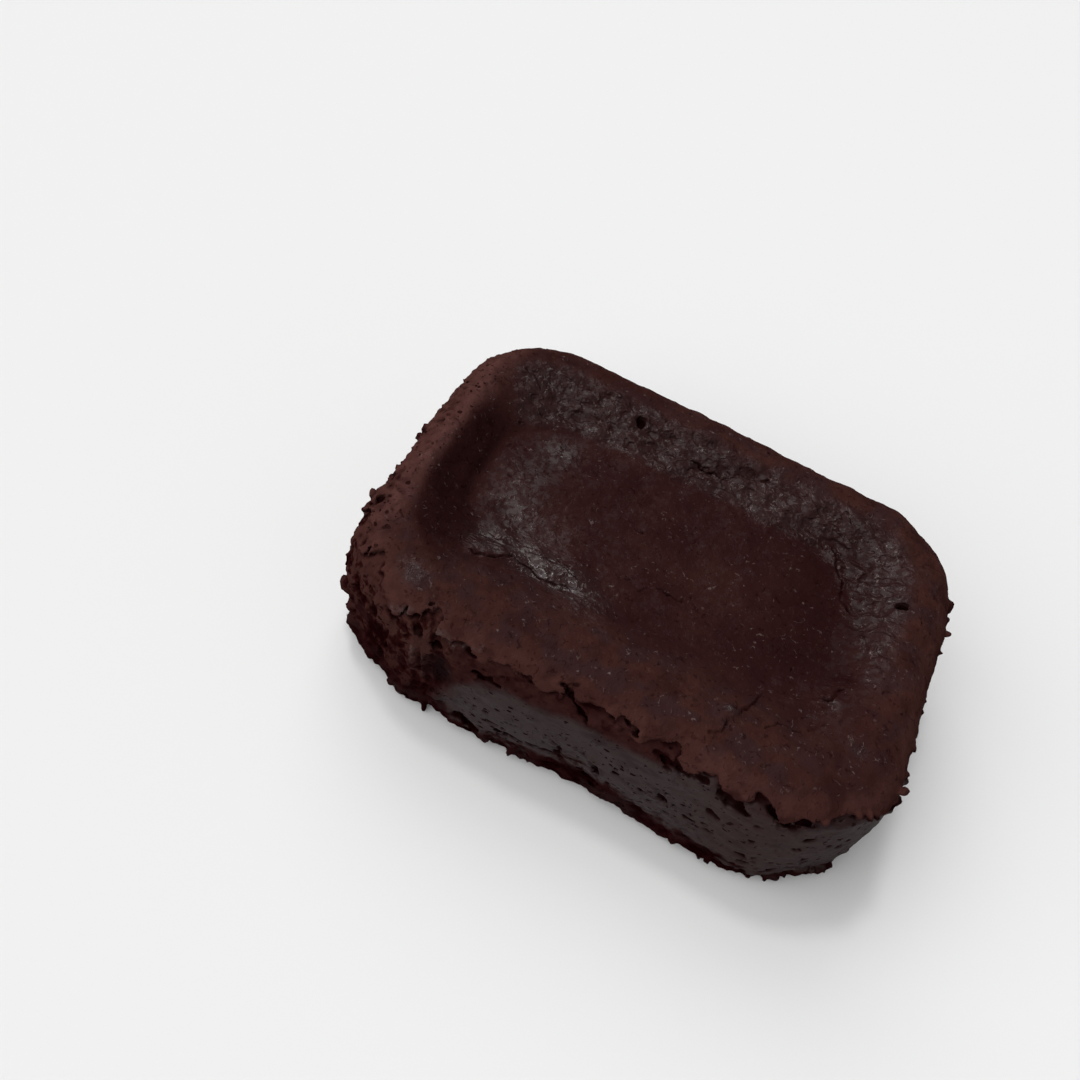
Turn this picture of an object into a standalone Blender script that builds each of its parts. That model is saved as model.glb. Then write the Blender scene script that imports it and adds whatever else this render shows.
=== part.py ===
"""Small rounded-rectangle protein brownie: sunken top, rolled rim, crust lip over a porous side.

Lengths are in millimetres up to the last step, which scales the mesh to metres. The cake lies
flat on its base: +X along its length, +Z up, and the viewer stands on the -Y side.
"""

import bmesh
import bpy
import numpy as np

# Overall form
LENGTH = 85.0
WIDTH = 62.6
CREST_HEIGHT = 25.0
CORNER_RADIUS = 16.9
BASE_INSET = 1.4
BASE_ROUNDING = 1.1
BASE_FLATNESS = 0.06
WIDEST_LEVEL = 13.0
SHOULDER_INSET = 0.6
SHOULDER_LEVEL = 23.0

# Crust and sunken top
RIM_ROUNDING = 6.2
RIM_DROP = 6.0
FRONT_CREST_DROP = 1.3
FRONT_ROUNDING = 1.8
FRONT_FLOOR_RISE = 0.7
LEFT_ROUNDING = -1.5
CRUST_LEVEL = 21.6
CRUST_THICKNESS = 0.8
CRUST_ROOT = 18.0
LIP_INSET = 0.8
LIP_ROUNDING = 0.7
CRUST_BLEND = 0.35
CRACK_DROP = 0.3
CRACK_HALF_HEIGHT = 0.5
CRACK_DEPTH = 0.9
BASIN_LEVEL = 21.2
BASIN_CENTRE = (-1.6, 0.8)
BASIN_HALF = (29.9, 15.5)
BASIN_CORNER = 12.0
BASIN_SOFTNESS = 2.0

# Dents (-) and raised spots (+) of the top: x, y, reach, amount.
TOP_SPOTS = (
    (32.1, 7.7, 1.5, -0.5),
    (34.0, 19.7, 2.0, -0.6),
    (30.9, -1.8, 1.8, -0.5),
    (34.6, -18.6, 1.4, -0.6),
    (26.0, -17.6, 3.6, -0.9),
    (16.6, -21.6, 1.1, 0.9),
    (20.0, -17.0, 1.6, -0.4),
    (16.1, 19.9, 1.5, 0.8),
    (13.5, 22.5, 2.0, -0.7),
    (20.5, 17.5, 2.4, -0.5),
    (-14.6, 18.3, 1.3, 0.5),
    (-37.4, -13.0, 2.0, -0.4),
)

# Long folds of the top skin: x, y of both ends, half width, height.
TOP_FOLDS = (
    (-25.5, -16.6, -18.5, -12.6, 2.2, 0.7),
    (-18.5, -12.6, -8.0, -11.6, 2.2, 0.6),
    (-24.7, -18.6, -17.0, -15.2, 0.8, -0.5),
    (-17.0, -15.2, -10.0, -14.2, 0.8, -0.5),
    (-10.0, 22.6, 1.0, 23.8, 1.0, 0.5),
    (-3.5, 19.2, 3.2, 19.6, 0.7, -0.6),
    (3.5, 20.6, 9.8, 22.2, 0.8, -0.6),
    (-24.0, 19.0, -14.0, 23.6, 0.9, -0.4),
    (22.5, 22.5, 29.5, 17.5, 1.0, 0.6),
    (24.5, 19.5, 29.5, 13.5, 0.8, -0.5),
    (24.0, -14.6, 28.5, -12.5, 0.8, 0.5),
    (22.5, 18.5, 28.0, 9.0, 0.9, -0.4),
    (28.0, 11.0, 29.2, 2.0, 0.9, -0.4),
    (-31.5, -9.0, -33.0, 2.0, 1.0, 0.3),
)

# Slots, tears and bubbles of the side and lip: both ends x, y, z, then radius.
HOLES = (
    (-16.6, -30.6, 4.7, -13.8, -30.6, 3.4, 1.3),
    (-30.8, -29.7, 18.5, -29.2, -30.0, 18.3, 0.9),
    (-32.0, -29.1, 13.8, -31.4, -29.4, 12.2, 0.9),
    (-26.2, -30.7, 20.6, -24.8, -30.5, 18.4, 0.8),
    (-27.4, -31.4, 16.0, -26.8, -31.4, 10.6, 0.8),
    (-24.4, -31.6, 16.0, -23.8, -31.6, 11.4, 0.8),
    (-21.6, -32.4, 15.6, -20.6, -32.4, 12.8, 2.2),
    (-18.6, -30.5, 20.9, -17.0, -30.3, 20.4, 0.7),
    (-16.2, -31.0, 17.7, -12.4, -31.0, 17.6, 0.7),
    (-4.3, -29.6, 22.3, -1.8, -30.1, 20.6, 0.6),
    (-1.8, -30.2, 20.6, 0.9, -30.6, 18.8, 0.7),
    (4.6, -30.0, 21.9, 7.6, -29.9, 20.8, 0.7),
    (10.4, -30.7, 20.1, 14.6, -31.0, 19.3, 0.7),
    (16.6, -31.0, 20.3, 17.8, -31.0, 20.1, 0.6),
    (20.2, -31.2, 19.7, 24.2, -31.2, 18.6, 0.9),
    (24.4, -30.6, 22.0, 26.8, -30.5, 20.6, 0.8),
    (26.8, -30.5, 20.6, 29.4, -30.2, 19.3, 0.8),
    (30.6, -29.8, 20.3, 32.6, -29.0, 19.8, 0.6),
    (4.0, -31.2, 9.6, 4.6, -31.2, 8.8, 0.8),
    (13.0, -31.8, 13.3, 14.2, -31.9, 12.2, 0.7),
    (20.2, -31.9, 15.2, 21.6, -31.9, 14.6, 0.6),
    (-9.2, -31.0, 7.0, -6.8, -30.9, 6.6, 0.5),
    (-5.8, -30.8, 7.4, -0.6, -30.7, 7.6, 0.5),
    (34.3, 9.2, 24.8, 34.3, 9.2, 23.9, 0.8),
    (-40.4, -16.7, 23.2, -39.6, -16.7, 22.8, 0.8),
    (-13.6, 21.2, 24.0, -13.4, 20.6, 23.2, 0.8),
)

# Flakes and crumbs baked on to the side: x, y, z, radius.
LUMPS = (
    (41.9, 17.0, 20.6, 0.7),
    (41.5, -20.2, 18.3, 0.9),
    (40.6, -21.4, 7.0, 1.0),
    (39.0, -23.2, 2.6, 1.7),
    (-42.2, 5.8, 20.8, 0.5),
    (-42.2, -0.6, 21.0, 0.5),
    (-38.9, -22.0, 16.0, 1.2),
)

# Places where the outline swells (+) or falls back (-): x, y, reach, amount.
OUTLINE_SWELLS = (
    (-42.0, -10.0, 6.0, -0.5),
    (-40.0, -23.0, 4.0, 0.4),
    (-34.0, -30.0, 6.0, -1.2),
    (33.0, 30.0, 7.0, -0.3),
    (43.0, 10.0, 6.0, 0.5),
    (40.5, -22.0, 6.0, 0.8),
    (24.0, -32.0, 9.0, 0.9),
    (-12.0, -32.0, 7.0, 0.4),
    (12.0, 32.0, 8.0, -0.3),
)

# Places where the lower edge of the crust hangs (-) or is lifted (+): x, y, reach, amount.
LIP_STEPS = (
    (-31.0, -29.0, 3.0, -2.6),
    (-22.0, -31.0, 1.8, -1.9),
    (-16.2, -31.0, 1.4, -1.8),
    (-7.0, -31.0, 1.5, -0.6),
    (-3.5, -31.0, 1.4, 0.9),
    (7.3, -31.0, 1.6, -1.0),
    (10.2, -31.0, 1.2, 0.5),
    (14.4, -31.5, 1.7, -2.5),
    (21.6, -31.5, 1.7, -2.9),
    (28.6, -30.5, 1.4, -2.2),
    (33.0, -29.0, 3.0, -0.8),
    (41.0, -21.0, 3.0, -2.2),
    (42.0, 8.0, 3.5, -0.8),
    (-42.0, 6.0, 3.0, -1.0),
    (12.0, 31.0, 4.0, -0.9),
    (-16.0, 31.0, 3.0, 0.8),
)

# Where along the cake each change of form starts and ends
FRONT_RANGE = (8.0, 27.0)
FLOOR_RISE_RANGE = (2.0, 20.0)
LEFT_RANGE = (20.0, 36.0)
BACK_WALL_RANGE = (4.0, 14.0)
FOOT_RANGE = (2.5, 6.5)
UNDER_LIP_RANGE = (15.0, 20.0)
TORN_RANGE = (42.0, 58.0)
CRUST_REACH = (4.0, 9.0)

# Unevenness: amount, wavelength, seed
CREST_WAVES = ((0.3, 17.0, 5),)
FLOOR_WAVES = ((0.35, 14.0, 11),)
BASIN_EDGE_WAVES = ((0.9, 9.0, 8),)
WALL_WRINKLES = ((0.35, 3.5, 51), (0.2, 1.8, 52))
LIP_WAVES = ((0.5, 5.0, 21), (0.35, 1.9, 22))
LIP_INSET_WAVES = ((0.4, 3.4, 23), (0.2, 1.4, 24))
CRACK_WAVES = ((1.6, 4.5, 31),)
SIDE_WAVES = ((0.35, 9.0, 3),)
CRUMB_WAVES = ((0.6, 3.2, 41), (0.36, 1.7, 42))
WRINKLE_STRETCH = (0.6, 1.25)
FOLD_WAVER = 0.5
FOLD_WAVELENGTH = 3.0

# Mesh
CELL = 0.8
MARGIN = 3.0
TARGET_TRIANGLES = 11000
CORNERS = [(i & 1, i >> 1 & 1, i >> 2 & 1) for i in range(8)]
TABLES = {}


def smooth_step(value, low, high):
    t = np.clip((value - low) / (high - low), 0.0, 1.0)
    return t * t * (3.0 - 2.0 * t)


def smooth_max(a, b, blend):
    h = np.maximum(blend - np.abs(a - b), 0.0) / blend
    return np.maximum(a, b) + h * h * blend * 0.25


def smooth_min(a, b, blend):
    return -smooth_max(-a, -b, blend)


def slope_table(seed):
    """A shuffled order and random unit slopes, for one noise field."""
    if seed not in TABLES:
        rng = np.random.RandomState(seed)
        order = rng.permutation(256)
        slopes = rng.normal(size=(3, 256))
        TABLES[seed] = order, slopes / np.linalg.norm(slopes, axis=0)
    return TABLES[seed]


def noise(x, y, z, wavelength, seed):
    """Smooth random field of about -1 to 1."""
    order, slopes = slope_table(seed)
    cells, parts, fades = [], [], []
    for value in (x, y, z):
        scaled = value / wavelength
        cell = np.floor(scaled)
        part = scaled - cell
        cells.append(cell.astype(np.int64))
        parts.append(part)
        fades.append(part * part * part * (part * (part * 6.0 - 15.0) + 10.0))
    total = np.zeros(np.shape(x))
    for dx in (0, 1):
        row = order[(cells[0] + dx) & 255]
        weight_x = fades[0] if dx else 1.0 - fades[0]
        for dy in (0, 1):
            column = order[(row + cells[1] + dy) & 255]
            weight_y = weight_x * (fades[1] if dy else 1.0 - fades[1])
            for dz in (0, 1):
                index = order[(column + cells[2] + dz) & 255]
                dot = (slopes[0][index] * (parts[0] - dx) + slopes[1][index] * (parts[1] - dy)
                       + slopes[2][index] * (parts[2] - dz))
                total += weight_y * (fades[2] if dz else 1.0 - fades[2]) * dot
    return total * 1.6


def plan_noise(x, y, wavelength, seed):
    """Noise that doesn't change with height."""
    return noise(x, y, np.full(np.shape(x), 0.5 * wavelength), wavelength, seed)


def plan_waves(x, y, table):
    return sum(amount * plan_noise(x, y, wavelength, seed) for amount, wavelength, seed in table)


def waves(x, y, z, table):
    return sum(amount * noise(x, y, z, wavelength, seed) for amount, wavelength, seed in table)


def rounded_rectangle(x, y, half_x, half_y, radius):
    qx = np.abs(x) - (half_x - radius)
    qy = np.abs(y) - (half_y - radius)
    outside = np.hypot(np.maximum(qx, 0.0), np.maximum(qy, 0.0))
    return outside + np.minimum(np.maximum(qx, qy), 0.0) - radius


def bumps(x, y, table):
    """Sum of soft round bumps listed as x, y, reach, amount."""
    total = np.zeros(np.shape(x))
    for at_x, at_y, reach, amount in table:
        total += amount * np.exp(-((x - at_x) ** 2 + (y - at_y) ** 2) / reach ** 2)
    return total


def from_line(points, start, end):
    """Distance of each point from a straight piece of line."""
    start, end = np.array(start), np.array(end)
    along = end - start
    share = np.clip((points - start) @ along / max(along @ along, 1e-9), 0.0, 1.0)
    return np.linalg.norm(points - start - share[:, None] * along, axis=1)


def folds(x, y, table):
    """Sum of soft ridges and furrows that waver and fade out: x, y, x, y, half width, height."""
    shifts = [FOLD_WAVER * plan_noise(x, y, FOLD_WAVELENGTH, seed) for seed in (61, 62)]
    points = np.stack([x + shifts[0], y + shifts[1]], axis=1)
    total = np.zeros(len(points))
    for x0, y0, x1, y1, width, height in table:
        start, end = np.array((x0, y0)), np.array((x1, y1))
        middle = 2.0 * np.linalg.norm(points - (start + end) / 2, axis=1) / np.linalg.norm(end - start)
        near = middle < 2.0
        apart = from_line(points[near], start, end) / width
        total[near] += height * (1.0 - smooth_step(middle[near], 0.6, 1.3)) * np.exp(-apart ** 2)
    return total


def side_inset(z):
    """How far the side falls back from the widest outline at each height."""
    lower = 2.0 * BASE_INSET * (1.0 - smooth_step(z, -WIDEST_LEVEL, WIDEST_LEVEL))
    return lower + SHOULDER_INSET * smooth_step(z, WIDEST_LEVEL, SHOULDER_LEVEL)


def top_of(x, y, inward):
    """Height of the crust, with its share of the way from the sunken floor (0) to the crest (1)."""
    front = smooth_step(-y, *FRONT_RANGE)
    left = smooth_step(-x, *LEFT_RANGE) * (1.0 - front)
    crest = CREST_HEIGHT - FRONT_CREST_DROP * front + plan_waves(x, y, CREST_WAVES)
    floor = BASIN_LEVEL + plan_waves(x, y, FLOOR_WAVES)
    floor += FRONT_FLOOR_RISE * smooth_step(-y, *FLOOR_RISE_RANGE)
    rounding = RIM_ROUNDING + FRONT_ROUNDING * front + LEFT_ROUNDING * left
    past = np.clip(1.0 - inward / rounding, 0.0, 1.25)
    fall = (RIM_DROP - FRONT_ROUNDING * front) * (1.0 - np.sqrt(np.maximum(1.0 - past ** 2, 0.0)))
    fall += RIM_DROP * np.maximum(past - 1.0, 0.0)
    edge = rounded_rectangle(x - BASIN_CENTRE[0], y - BASIN_CENTRE[1], *BASIN_HALF, BASIN_CORNER)
    climbed = np.maximum(edge + plan_waves(x, y, BASIN_EDGE_WAVES) + BASIN_SOFTNESS, 0.0)
    left_over = np.maximum(inward - rounding, 0.0)
    share = climbed / (climbed + left_over + 1e-6)
    wall = smooth_step(y, *BACK_WALL_RANGE) * share * (1.0 - share) * 4.0
    relief = bumps(x, y, TOP_SPOTS) + folds(x, y, TOP_FOLDS)
    relief += wall * plan_waves(WRINKLE_STRETCH[0] * x, WRINKLE_STRETCH[1] * y, WALL_WRINKLES)
    return floor + (crest - floor) * smooth_step(share, 0.0, 1.0) - fall + relief, share


def plan_of(x, y):
    """All that the form needs to know at each x, y, whatever the height."""
    edge = rounded_rectangle(x, y, LENGTH / 2, WIDTH / 2, CORNER_RADIUS) - bumps(x, y, OUTLINE_SWELLS)
    top, share = top_of(x, y, -edge)
    return {
        "edge": edge,
        "top": top,
        "share": share,
        "ragged": CRUST_LEVEL + plan_waves(x, y, LIP_WAVES) + bumps(x, y, LIP_STEPS),
        "lip": edge + LIP_INSET + plan_waves(x, y, LIP_INSET_WAVES),
        "crack": np.clip(CRACK_DEPTH + plan_waves(x, y, CRACK_WAVES), 0.0, 2.0 * CRACK_DEPTH),
    }


def side_roughness(x, y, z):
    """Slow waves all over, and crumbs where the side is torn: the foot and the left end."""
    foot = 1.0 - smooth_step(z, *FOOT_RANGE)
    torn = smooth_step(-x - y, *TORN_RANGE)
    under_lip = smooth_step(z, *UNDER_LIP_RANGE)
    share = np.minimum(0.1 + 0.6 * foot + 1.5 * torn + 0.2 * under_lip, 1.5)
    return waves(x, y, 0.5 * z, SIDE_WAVES) + share * waves(x, y, z, CRUMB_WAVES)


def unbroken(x, y, z, plan):
    """The cake before its holes: a crust with a ragged lip lying over the crumb."""
    crumb = plan["edge"] + side_inset(z)
    near = np.abs(crumb) < MARGIN
    crumb[near] += side_roughness(x[near], y[near], z[near])
    crumb = crumb + plan["crack"] * np.exp(-((z - plan["ragged"] + CRACK_DROP) / CRACK_HALF_HEIGHT) ** 2)
    crumb = smooth_max(crumb, -z, 2.0 * BASE_ROUNDING)
    below_top = (z - plan["top"]) * 0.9
    crumb = np.maximum(crumb, below_top + CRUST_THICKNESS)
    lower = plan["ragged"] - CRUST_ROOT * smooth_step(-plan["edge"], *CRUST_REACH)
    crust = smooth_max(smooth_max(below_top, lower - z, LIP_ROUNDING), plan["lip"], LIP_ROUNDING)
    return smooth_min(crumb, crust, CRUST_BLEND)


def body(x, y, z, plan):
    """The whole form: flakes added, then slots and bubbles taken away."""
    value = unbroken(x, y, z, plan)
    points = np.stack([x, y, z], axis=1)
    for at_x, at_y, at_z, radius in LUMPS:
        apart = np.linalg.norm(points - (at_x, at_y, at_z), axis=1)
        value = smooth_min(value, apart - radius, CELL)
    for *ends, radius in HOLES:
        start, end = np.array(ends[:3]), np.array(ends[3:])
        reach = np.linalg.norm(end - start) / 2 + radius + 1.0
        near = np.max(np.abs(points - (start + end) / 2), axis=1) < reach
        apart = from_line(points[near], start, end)
        value[near] = smooth_max(value[near], radius - apart, 0.5 * CELL)
    return value


def body_at(points):
    x, y, z = points.T
    return body(x, y, z, plan_of(x, y))


def field_on_grid(low, counts):
    """Signed distance on a lattice, one level of it at a time."""
    axes = [low[k] + CELL * np.arange(counts[k]) for k in range(3)]
    x, y = [side.ravel() for side in np.meshgrid(axes[0], axes[1], indexing="ij")]
    plan = plan_of(x, y)
    levels = [body(x, y, np.full(len(x), z), plan).reshape(counts[:2]) for z in axes[2]]
    return np.stack(levels, axis=2)


def linked(corners):
    """Whether these corners of a cube hang together along its edges."""
    seen = set(corners[:1])
    todo = list(seen)
    while todo:
        here = todo.pop()
        for bit in (1, 2, 4):
            there = here ^ bit
            if there in corners and there not in seen:
                seen.add(there)
                todo.append(there)
    return len(seen) == len(corners)


def unclear_cases():
    """For each pattern of inside corners, whether the surface in that cell would touch itself."""
    cases = np.zeros(256, bool)
    for case in range(256):
        inside = [i for i in range(8) if case >> i & 1]
        outside = [i for i in range(8) if not case >> i & 1]
        cases[case] = not (linked(inside) and linked(outside))
    return cases


def cases_of(values):
    """The pattern of inside corners of each cell, as one number."""
    nx, ny, nz = values.shape
    inside = (values < 0).astype(np.uint8)
    case = np.zeros((nx - 1, ny - 1, nz - 1), np.uint8)
    for i, (dx, dy, dz) in enumerate(CORNERS):
        case += inside[dx:nx - 1 + dx, dy:ny - 1 + dy, dz:nz - 1 + dz] << i
    return case


def corner_values(values, cells):
    return np.stack([values[tuple((cells + corner).T)] for corner in CORNERS])


def made_clear(values):
    """Fills corners of unclear cells until the surface nowhere touches itself."""
    unclear = unclear_cases()
    for _ in range(60):
        cells = np.argwhere(unclear[cases_of(values)])
        if not len(cells):
            break
        near = corner_values(values, cells)
        pick = np.argmin(np.where(near < 0, np.inf, near), axis=0)
        values[tuple((cells + np.array(CORNERS)[pick]).T)] = -0.1 * CELL
    return values


def crossing_points(values, low):
    """One point in each cell that the surface passes through, with the cells' numbers."""
    case = cases_of(values)
    crossed = (case > 0) & (case < 255)
    cells = np.argwhere(crossed)
    number = np.full(crossed.shape, -1)
    number[crossed] = np.arange(len(cells))
    at = corner_values(values, cells)
    total = np.zeros((len(cells), 3))
    hits = np.zeros(len(cells))
    for i, start in enumerate(CORNERS):
        for axis in range(3):
            if start[axis]:
                continue
            j = i | 1 << axis
            cut = (at[i] < 0) != (at[j] < 0)
            point = np.tile(np.array(start, float), (len(cells), 1))
            point[:, axis] += np.where(cut, at[i] / np.where(cut, at[i] - at[j], 1.0), 0.0)
            total += point * cut[:, None]
            hits += cut
    return low + CELL * (cells + total / hits[:, None]), number


def crossing_faces(values, number):
    """A quad round each lattice edge that the surface crosses, facing outward."""
    faces = []
    for axis in range(3):
        turn = (axis, (axis + 1) % 3, (axis + 2) % 3)
        inside = np.moveaxis(values, turn, (0, 1, 2)) < 0
        cell = np.moveaxis(number, turn, (0, 1, 2))
        first, last = inside[:-1, 1:-1, 1:-1], inside[1:, 1:-1, 1:-1]
        for cut, order in ((first & ~last, 1), (~first & last, -1)):
            i, j, k = np.nonzero(cut)
            ring = [cell[i, j, k], cell[i, j + 1, k], cell[i, j + 1, k + 1], cell[i, j, k + 1]]
            faces.append(np.stack(ring, axis=1)[:, ::order])
    return np.concatenate(faces)


def settled(points):
    """Moves each point along the slope of the form until it lies on its surface."""
    start = points.copy()
    for _ in range(2):
        value = body_at(points)
        slope = np.stack([body_at(points + step) - value for step in 0.05 * np.eye(3)], axis=1) / 0.05
        points = points - slope * (value / np.maximum(np.sum(slope ** 2, axis=1), 0.3))[:, None]
        points = np.clip(points, start - 0.5 * CELL, start + 0.5 * CELL)
    return points


def one_piece(faces, count):
    """The faces of the largest piece: loose islands and sealed bubbles are dropped."""
    label = np.arange(count)
    ends = np.concatenate([faces[:, [0, 1]], faces[:, [1, 2]], faces[:, [2, 3]], faces[:, [3, 0]]])
    while True:
        low = np.minimum(label[ends[:, 0]], label[ends[:, 1]])
        before = label.copy()
        np.minimum.at(label, ends[:, 0], low)
        np.minimum.at(label, ends[:, 1], low)
        label = label[label]
        if np.array_equal(label, before):
            break
    return faces[label[faces[:, 0]] == np.bincount(label).argmax()]


def cake_surface():
    """Points and quads of the whole cake."""
    low = np.array([-LENGTH / 2 - MARGIN, -WIDTH / 2 - MARGIN, -2.0 * CELL])
    box = np.array((LENGTH, WIDTH, CREST_HEIGHT)) + 2.0 * MARGIN
    counts = [int(np.ceil(size / CELL)) for size in box]
    values = made_clear(field_on_grid(low, counts))
    points, number = crossing_points(values, low)
    faces = one_piece(crossing_faces(values, number), len(points))
    points = settled(points)
    points[:, 2] = np.maximum(points[:, 2], 0.0)
    used = np.unique(faces)
    renumber = np.zeros(len(points), np.int64)
    renumber[used] = np.arange(len(used))
    return points[used], renumber[faces]


def cake_mesh():
    points, faces = cake_surface()
    mesh = bpy.data.meshes.new("brownie")
    mesh.from_pydata(points.tolist(), [], faces.tolist())
    form = bmesh.new()
    form.from_mesh(mesh)
    bmesh.ops.triangulate(form, faces=form.faces)
    form.to_mesh(mesh)
    form.free()
    return mesh


def crust_material():
    material = bpy.data.materials.new("brownie_crust")
    material.use_nodes = True
    shader = material.node_tree.nodes["Principled BSDF"]
    shader.inputs["Base Color"].default_value = (0.032, 0.013, 0.011, 1.0)
    shader.inputs["Roughness"].default_value = 0.5
    return material


def reduced(cake):
    """Merges small triangles where the surface is plain."""
    modifier = cake.modifiers.new("reduce", "DECIMATE")
    modifier.ratio = TARGET_TRIANGLES / len(cake.data.polygons)
    bpy.context.view_layer.update()
    graph = bpy.context.evaluated_depsgraph_get()
    mesh = bpy.data.meshes.new_from_object(cake.evaluated_get(graph))
    cake.modifiers.clear()
    cake.data = mesh


def centred(mesh):
    """Puts the middle of the cake's box on x = y = 0 and its base flat on z = 0, in metres."""
    points = np.array([vert.co for vert in mesh.vertices])
    low, high = points.min(axis=0), points.max(axis=0)
    points -= ((low[0] + high[0]) / 2, (low[1] + high[1]) / 2, low[2])
    points[points[:, 2] < BASE_FLATNESS, 2] = 0.0
    mesh.vertices.foreach_set("co", (points * 0.001).ravel())
    mesh.update()


def build():
    for item in list(bpy.data.objects):
        bpy.data.objects.remove(item)
    cake = bpy.data.objects.new("brownie", cake_mesh())
    bpy.context.scene.collection.objects.link(cake)
    reduced(cake)
    centred(cake.data)
    cake.data.materials.clear()
    cake.data.materials.append(crust_material())
    cake.data.shade_smooth()


build()
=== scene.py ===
"""Looks of the protein brownie: fine crust, skin, porous side and crumbs, with floor, lights, camera.

The form is worked out in millimetres by the same rules as its solid, on a finer lattice.
"""

import math

import bmesh
import bpy
import numpy as np
from mathutils import Matrix, Vector


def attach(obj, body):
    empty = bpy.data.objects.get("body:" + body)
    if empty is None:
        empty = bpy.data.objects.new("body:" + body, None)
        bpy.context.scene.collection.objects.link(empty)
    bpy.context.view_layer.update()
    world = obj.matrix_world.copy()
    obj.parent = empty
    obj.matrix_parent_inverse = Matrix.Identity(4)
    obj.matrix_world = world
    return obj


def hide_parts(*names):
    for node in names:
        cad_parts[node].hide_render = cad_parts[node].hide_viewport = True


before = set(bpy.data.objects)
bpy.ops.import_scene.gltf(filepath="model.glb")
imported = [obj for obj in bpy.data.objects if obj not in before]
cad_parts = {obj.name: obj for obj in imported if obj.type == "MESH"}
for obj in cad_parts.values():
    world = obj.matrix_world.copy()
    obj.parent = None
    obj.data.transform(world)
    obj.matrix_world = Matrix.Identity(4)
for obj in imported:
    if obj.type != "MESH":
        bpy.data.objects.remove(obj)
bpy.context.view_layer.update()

# Overall form
LENGTH = 85.0
WIDTH = 62.6
CREST_HEIGHT = 25.0
CORNER_RADIUS = 16.9
BASE_INSET = 1.4
BASE_ROUNDING = 1.1
WIDEST_LEVEL = 13.0
SHOULDER_INSET = 0.6
SHOULDER_LEVEL = 23.0

# Crust and sunken top
RIM_ROUNDING = 6.2
RIM_DROP = 6.0
FRONT_CREST_DROP = 1.3
FRONT_ROUNDING = 1.8
FRONT_FLOOR_RISE = 0.7
LEFT_ROUNDING = -1.5
CRUST_LEVEL = 21.6
CRUST_THICKNESS = 0.8
CRUST_ROOT = 18.0
LIP_INSET = 0.8
LIP_ROUNDING = 0.35
CRUST_BLEND = 0.2
CRACK_DROP = 0.3
CRACK_HALF_HEIGHT = 0.5
CRACK_DEPTH = 0.9
BASIN_LEVEL = 21.2
BASIN_CENTRE = (-1.6, 0.8)
BASIN_HALF = (29.9, 15.5)
BASIN_CORNER = 12.0
BASIN_SOFTNESS = 2.0

# Dents (-) and raised spots (+) of the top: x, y, reach, amount.
TOP_SPOTS = (
    (32.1, 7.7, 1.5, -0.5),
    (34.0, 19.7, 2.0, -0.6),
    (30.9, -1.8, 1.8, -0.5),
    (34.6, -18.6, 1.4, -0.6),
    (26.0, -17.6, 3.6, -0.9),
    (16.6, -21.6, 1.1, 0.9),
    (20.0, -17.0, 1.6, -0.4),
    (16.1, 19.9, 1.5, 0.8),
    (13.5, 22.5, 2.0, -0.7),
    (20.5, 17.5, 2.4, -0.5),
    (-14.6, 18.3, 1.3, 0.5),
    (-37.4, -13.0, 2.0, -0.4),
)

# Long folds of the top skin: x, y of both ends, half width, height.
TOP_FOLDS = (
    (-25.5, -16.6, -18.5, -12.6, 2.2, 0.7),
    (-18.5, -12.6, -8.0, -11.6, 2.2, 0.6),
    (-24.7, -18.6, -17.0, -15.2, 0.8, -0.5),
    (-17.0, -15.2, -10.0, -14.2, 0.8, -0.5),
    (-10.0, 22.6, 1.0, 23.8, 1.0, 0.5),
    (-3.5, 19.2, 3.2, 19.6, 0.7, -0.6),
    (3.5, 20.6, 9.8, 22.2, 0.8, -0.6),
    (-24.0, 19.0, -14.0, 23.6, 0.9, -0.4),
    (22.5, 22.5, 29.5, 17.5, 1.0, 0.6),
    (24.5, 19.5, 29.5, 13.5, 0.8, -0.5),
    (24.0, -14.6, 28.5, -12.5, 0.8, 0.5),
    (22.5, 18.5, 28.0, 9.0, 0.9, -0.4),
    (28.0, 11.0, 29.2, 2.0, 0.9, -0.4),
    (-31.5, -9.0, -33.0, 2.0, 1.0, 0.3),
)

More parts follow.
